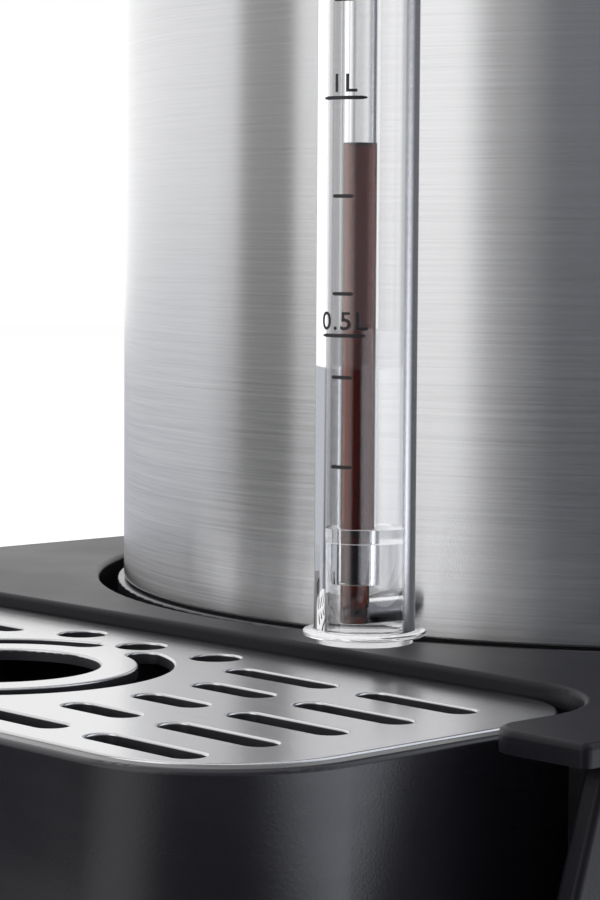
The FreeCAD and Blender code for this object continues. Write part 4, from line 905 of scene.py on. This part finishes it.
def either(tree, *rays):
    """1 where the light path is one of these rays."""
    path = node(tree, "LightPath")
    last = path.outputs[rays[0]]
    for ray in rays[1:]:
        most = node(tree, "Math", operation="MAXIMUM")
        tree.links.new(last, most.inputs[0])
        tree.links.new(path.outputs[ray], most.inputs[1])
        last = most.outputs[0]
    return last


class AIRPOT_OT_stage(bpy.types.Operator):
    """Sets the pale floor, the surround, the lamps and the camera"""
    bl_idname = "airpot.stage"
    bl_label = "Floor, light and camera"

    def execute(self, context):
        self.floor()
        self.wall()
        self.lamps()
        self.world()
        self.camera()
        return {"FINISHED"}

    def floor(self):
        """Pale to the eye, with the part's shadow; to gloss it glows with painted bands of light and shade.
        """
        deselect()
        bpy.ops.mesh.primitive_circle_add(vertices=96, radius=STAGE_R, fill_type="NGON", location=(0, 0, 0))
        floor = name_piece("floor")
        material, tree, shader = new_material("pale_floor")
        cloud = noise(tree, place_of(tree), 3.0, 3.0, 0.5)
        tree.links.new(tones(tree, cloud, [(0.3, (0.84, 0.84, 0.84)), (0.7, (0.87, 0.87, 0.87))]),
                       shader.inputs["Base Color"])
        shader.inputs["Roughness"].default_value = 0.7
        shader.inputs["Specular IOR Level"].default_value = 0.1
        pale = node(tree, "Emission")
        pale.inputs["Strength"].default_value = 1.2
        seen = node(tree, "Math", operation="MULTIPLY")
        tree.links.new(either(tree, "Is Camera Ray", "Is Transmission Ray"), seen.inputs[0])
        seen.inputs[1].default_value = 0.72
        first = node(tree, "MixShader")
        tree.links.new(seen.outputs[0], first.inputs[0])
        tree.links.new(shader.outputs[0], first.inputs[1])
        tree.links.new(pale.outputs[0], first.inputs[2])
        # Painted reflection: to glossy rays the floor glows with these bands instead of being lit.
        around = node(tree, "Emission")
        tree.links.new(surround(tree, levels_of(PAINTED_FLOOR_GLOSS)), around.inputs["Color"])
        last = node(tree, "MixShader")
        tree.links.new(either(tree, "Is Glossy Ray"), last.inputs[0])
        tree.links.new(first.outputs[0], last.inputs[1])
        tree.links.new(around.outputs[0], last.inputs[2])
        tree.links.new(last.outputs[0], tree.nodes["Material Output"].inputs["Surface"])
        paint(floor, material)

    def wall(self):
        """A round wall of soft boxes and dark cards that only shows in gloss."""
        deselect()
        bpy.ops.mesh.primitive_cylinder_add(vertices=96, radius=STAGE_R, depth=WALL_H,
                                            end_fill_type="NOTHING", location=(0, 0, WALL_H / 2))
        wall = name_piece("surround")
        apply_place(wall)
        for key in ("camera", "diffuse", "transmission", "volume_scatter", "shadow"):
            setattr(wall, "visible_" + key, False)
        material, tree, shader = new_material("surround_cloth")
        glow = node(tree, "Emission")
        tree.links.new(surround(tree, levels_of(WALL_PANELS)), glow.inputs["Color"])
        tree.links.new(glow.outputs[0], tree.nodes["Material Output"].inputs["Surface"])
        paint(wall, material)

    def lamps(self):
        for name, place, size, power in LAMPS:
            lamp = bpy.data.lights.new(name, "AREA")
            lamp.size = size
            lamp.energy = power
            box = bpy.data.objects.new(name, lamp)
            bpy.context.scene.collection.objects.link(box)
            box.location = place
            aim = Vector((AXIS_X, AXIS_Y, LAMP_AIM_Z)) - Vector(place)
            box.rotation_euler = aim.to_track_quat("-Z", "Y").to_euler()
            box.visible_glossy = False
            box.visible_transmission = False

    def world(self):
        world = bpy.data.worlds.new("studio")
        bpy.context.scene.world = world
        world.use_nodes = True
        tree = world.node_tree
        back = tree.nodes["Background"]
        seen = either(tree, "Is Camera Ray", "Is Transmission Ray", "Is Glossy Ray")
        back.inputs["Color"].default_value = (1.0, 1.0, 1.0, 1.0)
        tree.links.new(spread(tree, seen, 0.42, 1.0, 0.0, 1.0), back.inputs["Strength"])

    def camera(self):
        eye = bpy.data.cameras.new("photograph")
        eye.sensor_fit = "VERTICAL"
        eye.sensor_height = SENSOR
        eye.lens = LENS
        eye.clip_start = 0.01
        eye.clip_end = 20.0
        camera = bpy.data.objects.new("photograph", eye)
        bpy.context.scene.collection.objects.link(camera)
        right = Vector(EYE_RIGHT).normalized()
        back = Vector(EYE_BACK).normalized()
        up = back.cross(right).normalized()
        right = up.cross(back)
        turn = Matrix((right, up, back)).transposed().to_4x4()
        camera.matrix_world = Matrix.Translation((EYE_X, AXIS_Y - EYE_BEFORE, EYE_Z)) @ turn
        bpy.context.scene.camera = camera


class AIRPOT_PT_panel(bpy.types.Panel):
    """Lists the airpot's steps in the sidebar"""
    bl_label = "Airpot"
    bl_idname = "AIRPOT_PT_panel"
    bl_space_type = "VIEW_3D"
    bl_region_type = "UI"
    bl_category = "Airpot"

    def draw(self, context):
        for group in (context.scene.airpot_sizes, context.scene.airpot_colours):
            for key in group.__annotations__:
                self.layout.prop(group, key)
        for step in STEPS:
            self.layout.operator(step.bl_idname)


STEPS = (AIRPOT_OT_stage, AIRPOT_OT_stand, AIRPOT_OT_tray, AIRPOT_OT_body, AIRPOT_OT_gauge,
         AIRPOT_OT_scale, AIRPOT_OT_neck, AIRPOT_OT_lid, AIRPOT_OT_pump, AIRPOT_OT_handle)
CLASSES = (AirpotSizes, AirpotColours) + STEPS + (AIRPOT_PT_panel,)


def register():
    for made in CLASSES:
        bpy.utils.register_class(made)
    bpy.types.Scene.airpot_sizes = bpy.props.PointerProperty(type=AirpotSizes)
    bpy.types.Scene.airpot_colours = bpy.props.PointerProperty(type=AirpotColours)


def unregister():
    del bpy.types.Scene.airpot_colours
    del bpy.types.Scene.airpot_sizes
    for made in reversed(CLASSES):
        bpy.utils.unregister_class(made)


def main():
    register()
    bpy.context.scene.view_settings.view_transform = "Standard"
    make_materials()
    for step in STEPS:
        group, name = step.bl_idname.split(".")
        getattr(getattr(bpy.ops, group), name)()
    deselect()


if __name__ == "__main__":
    main()
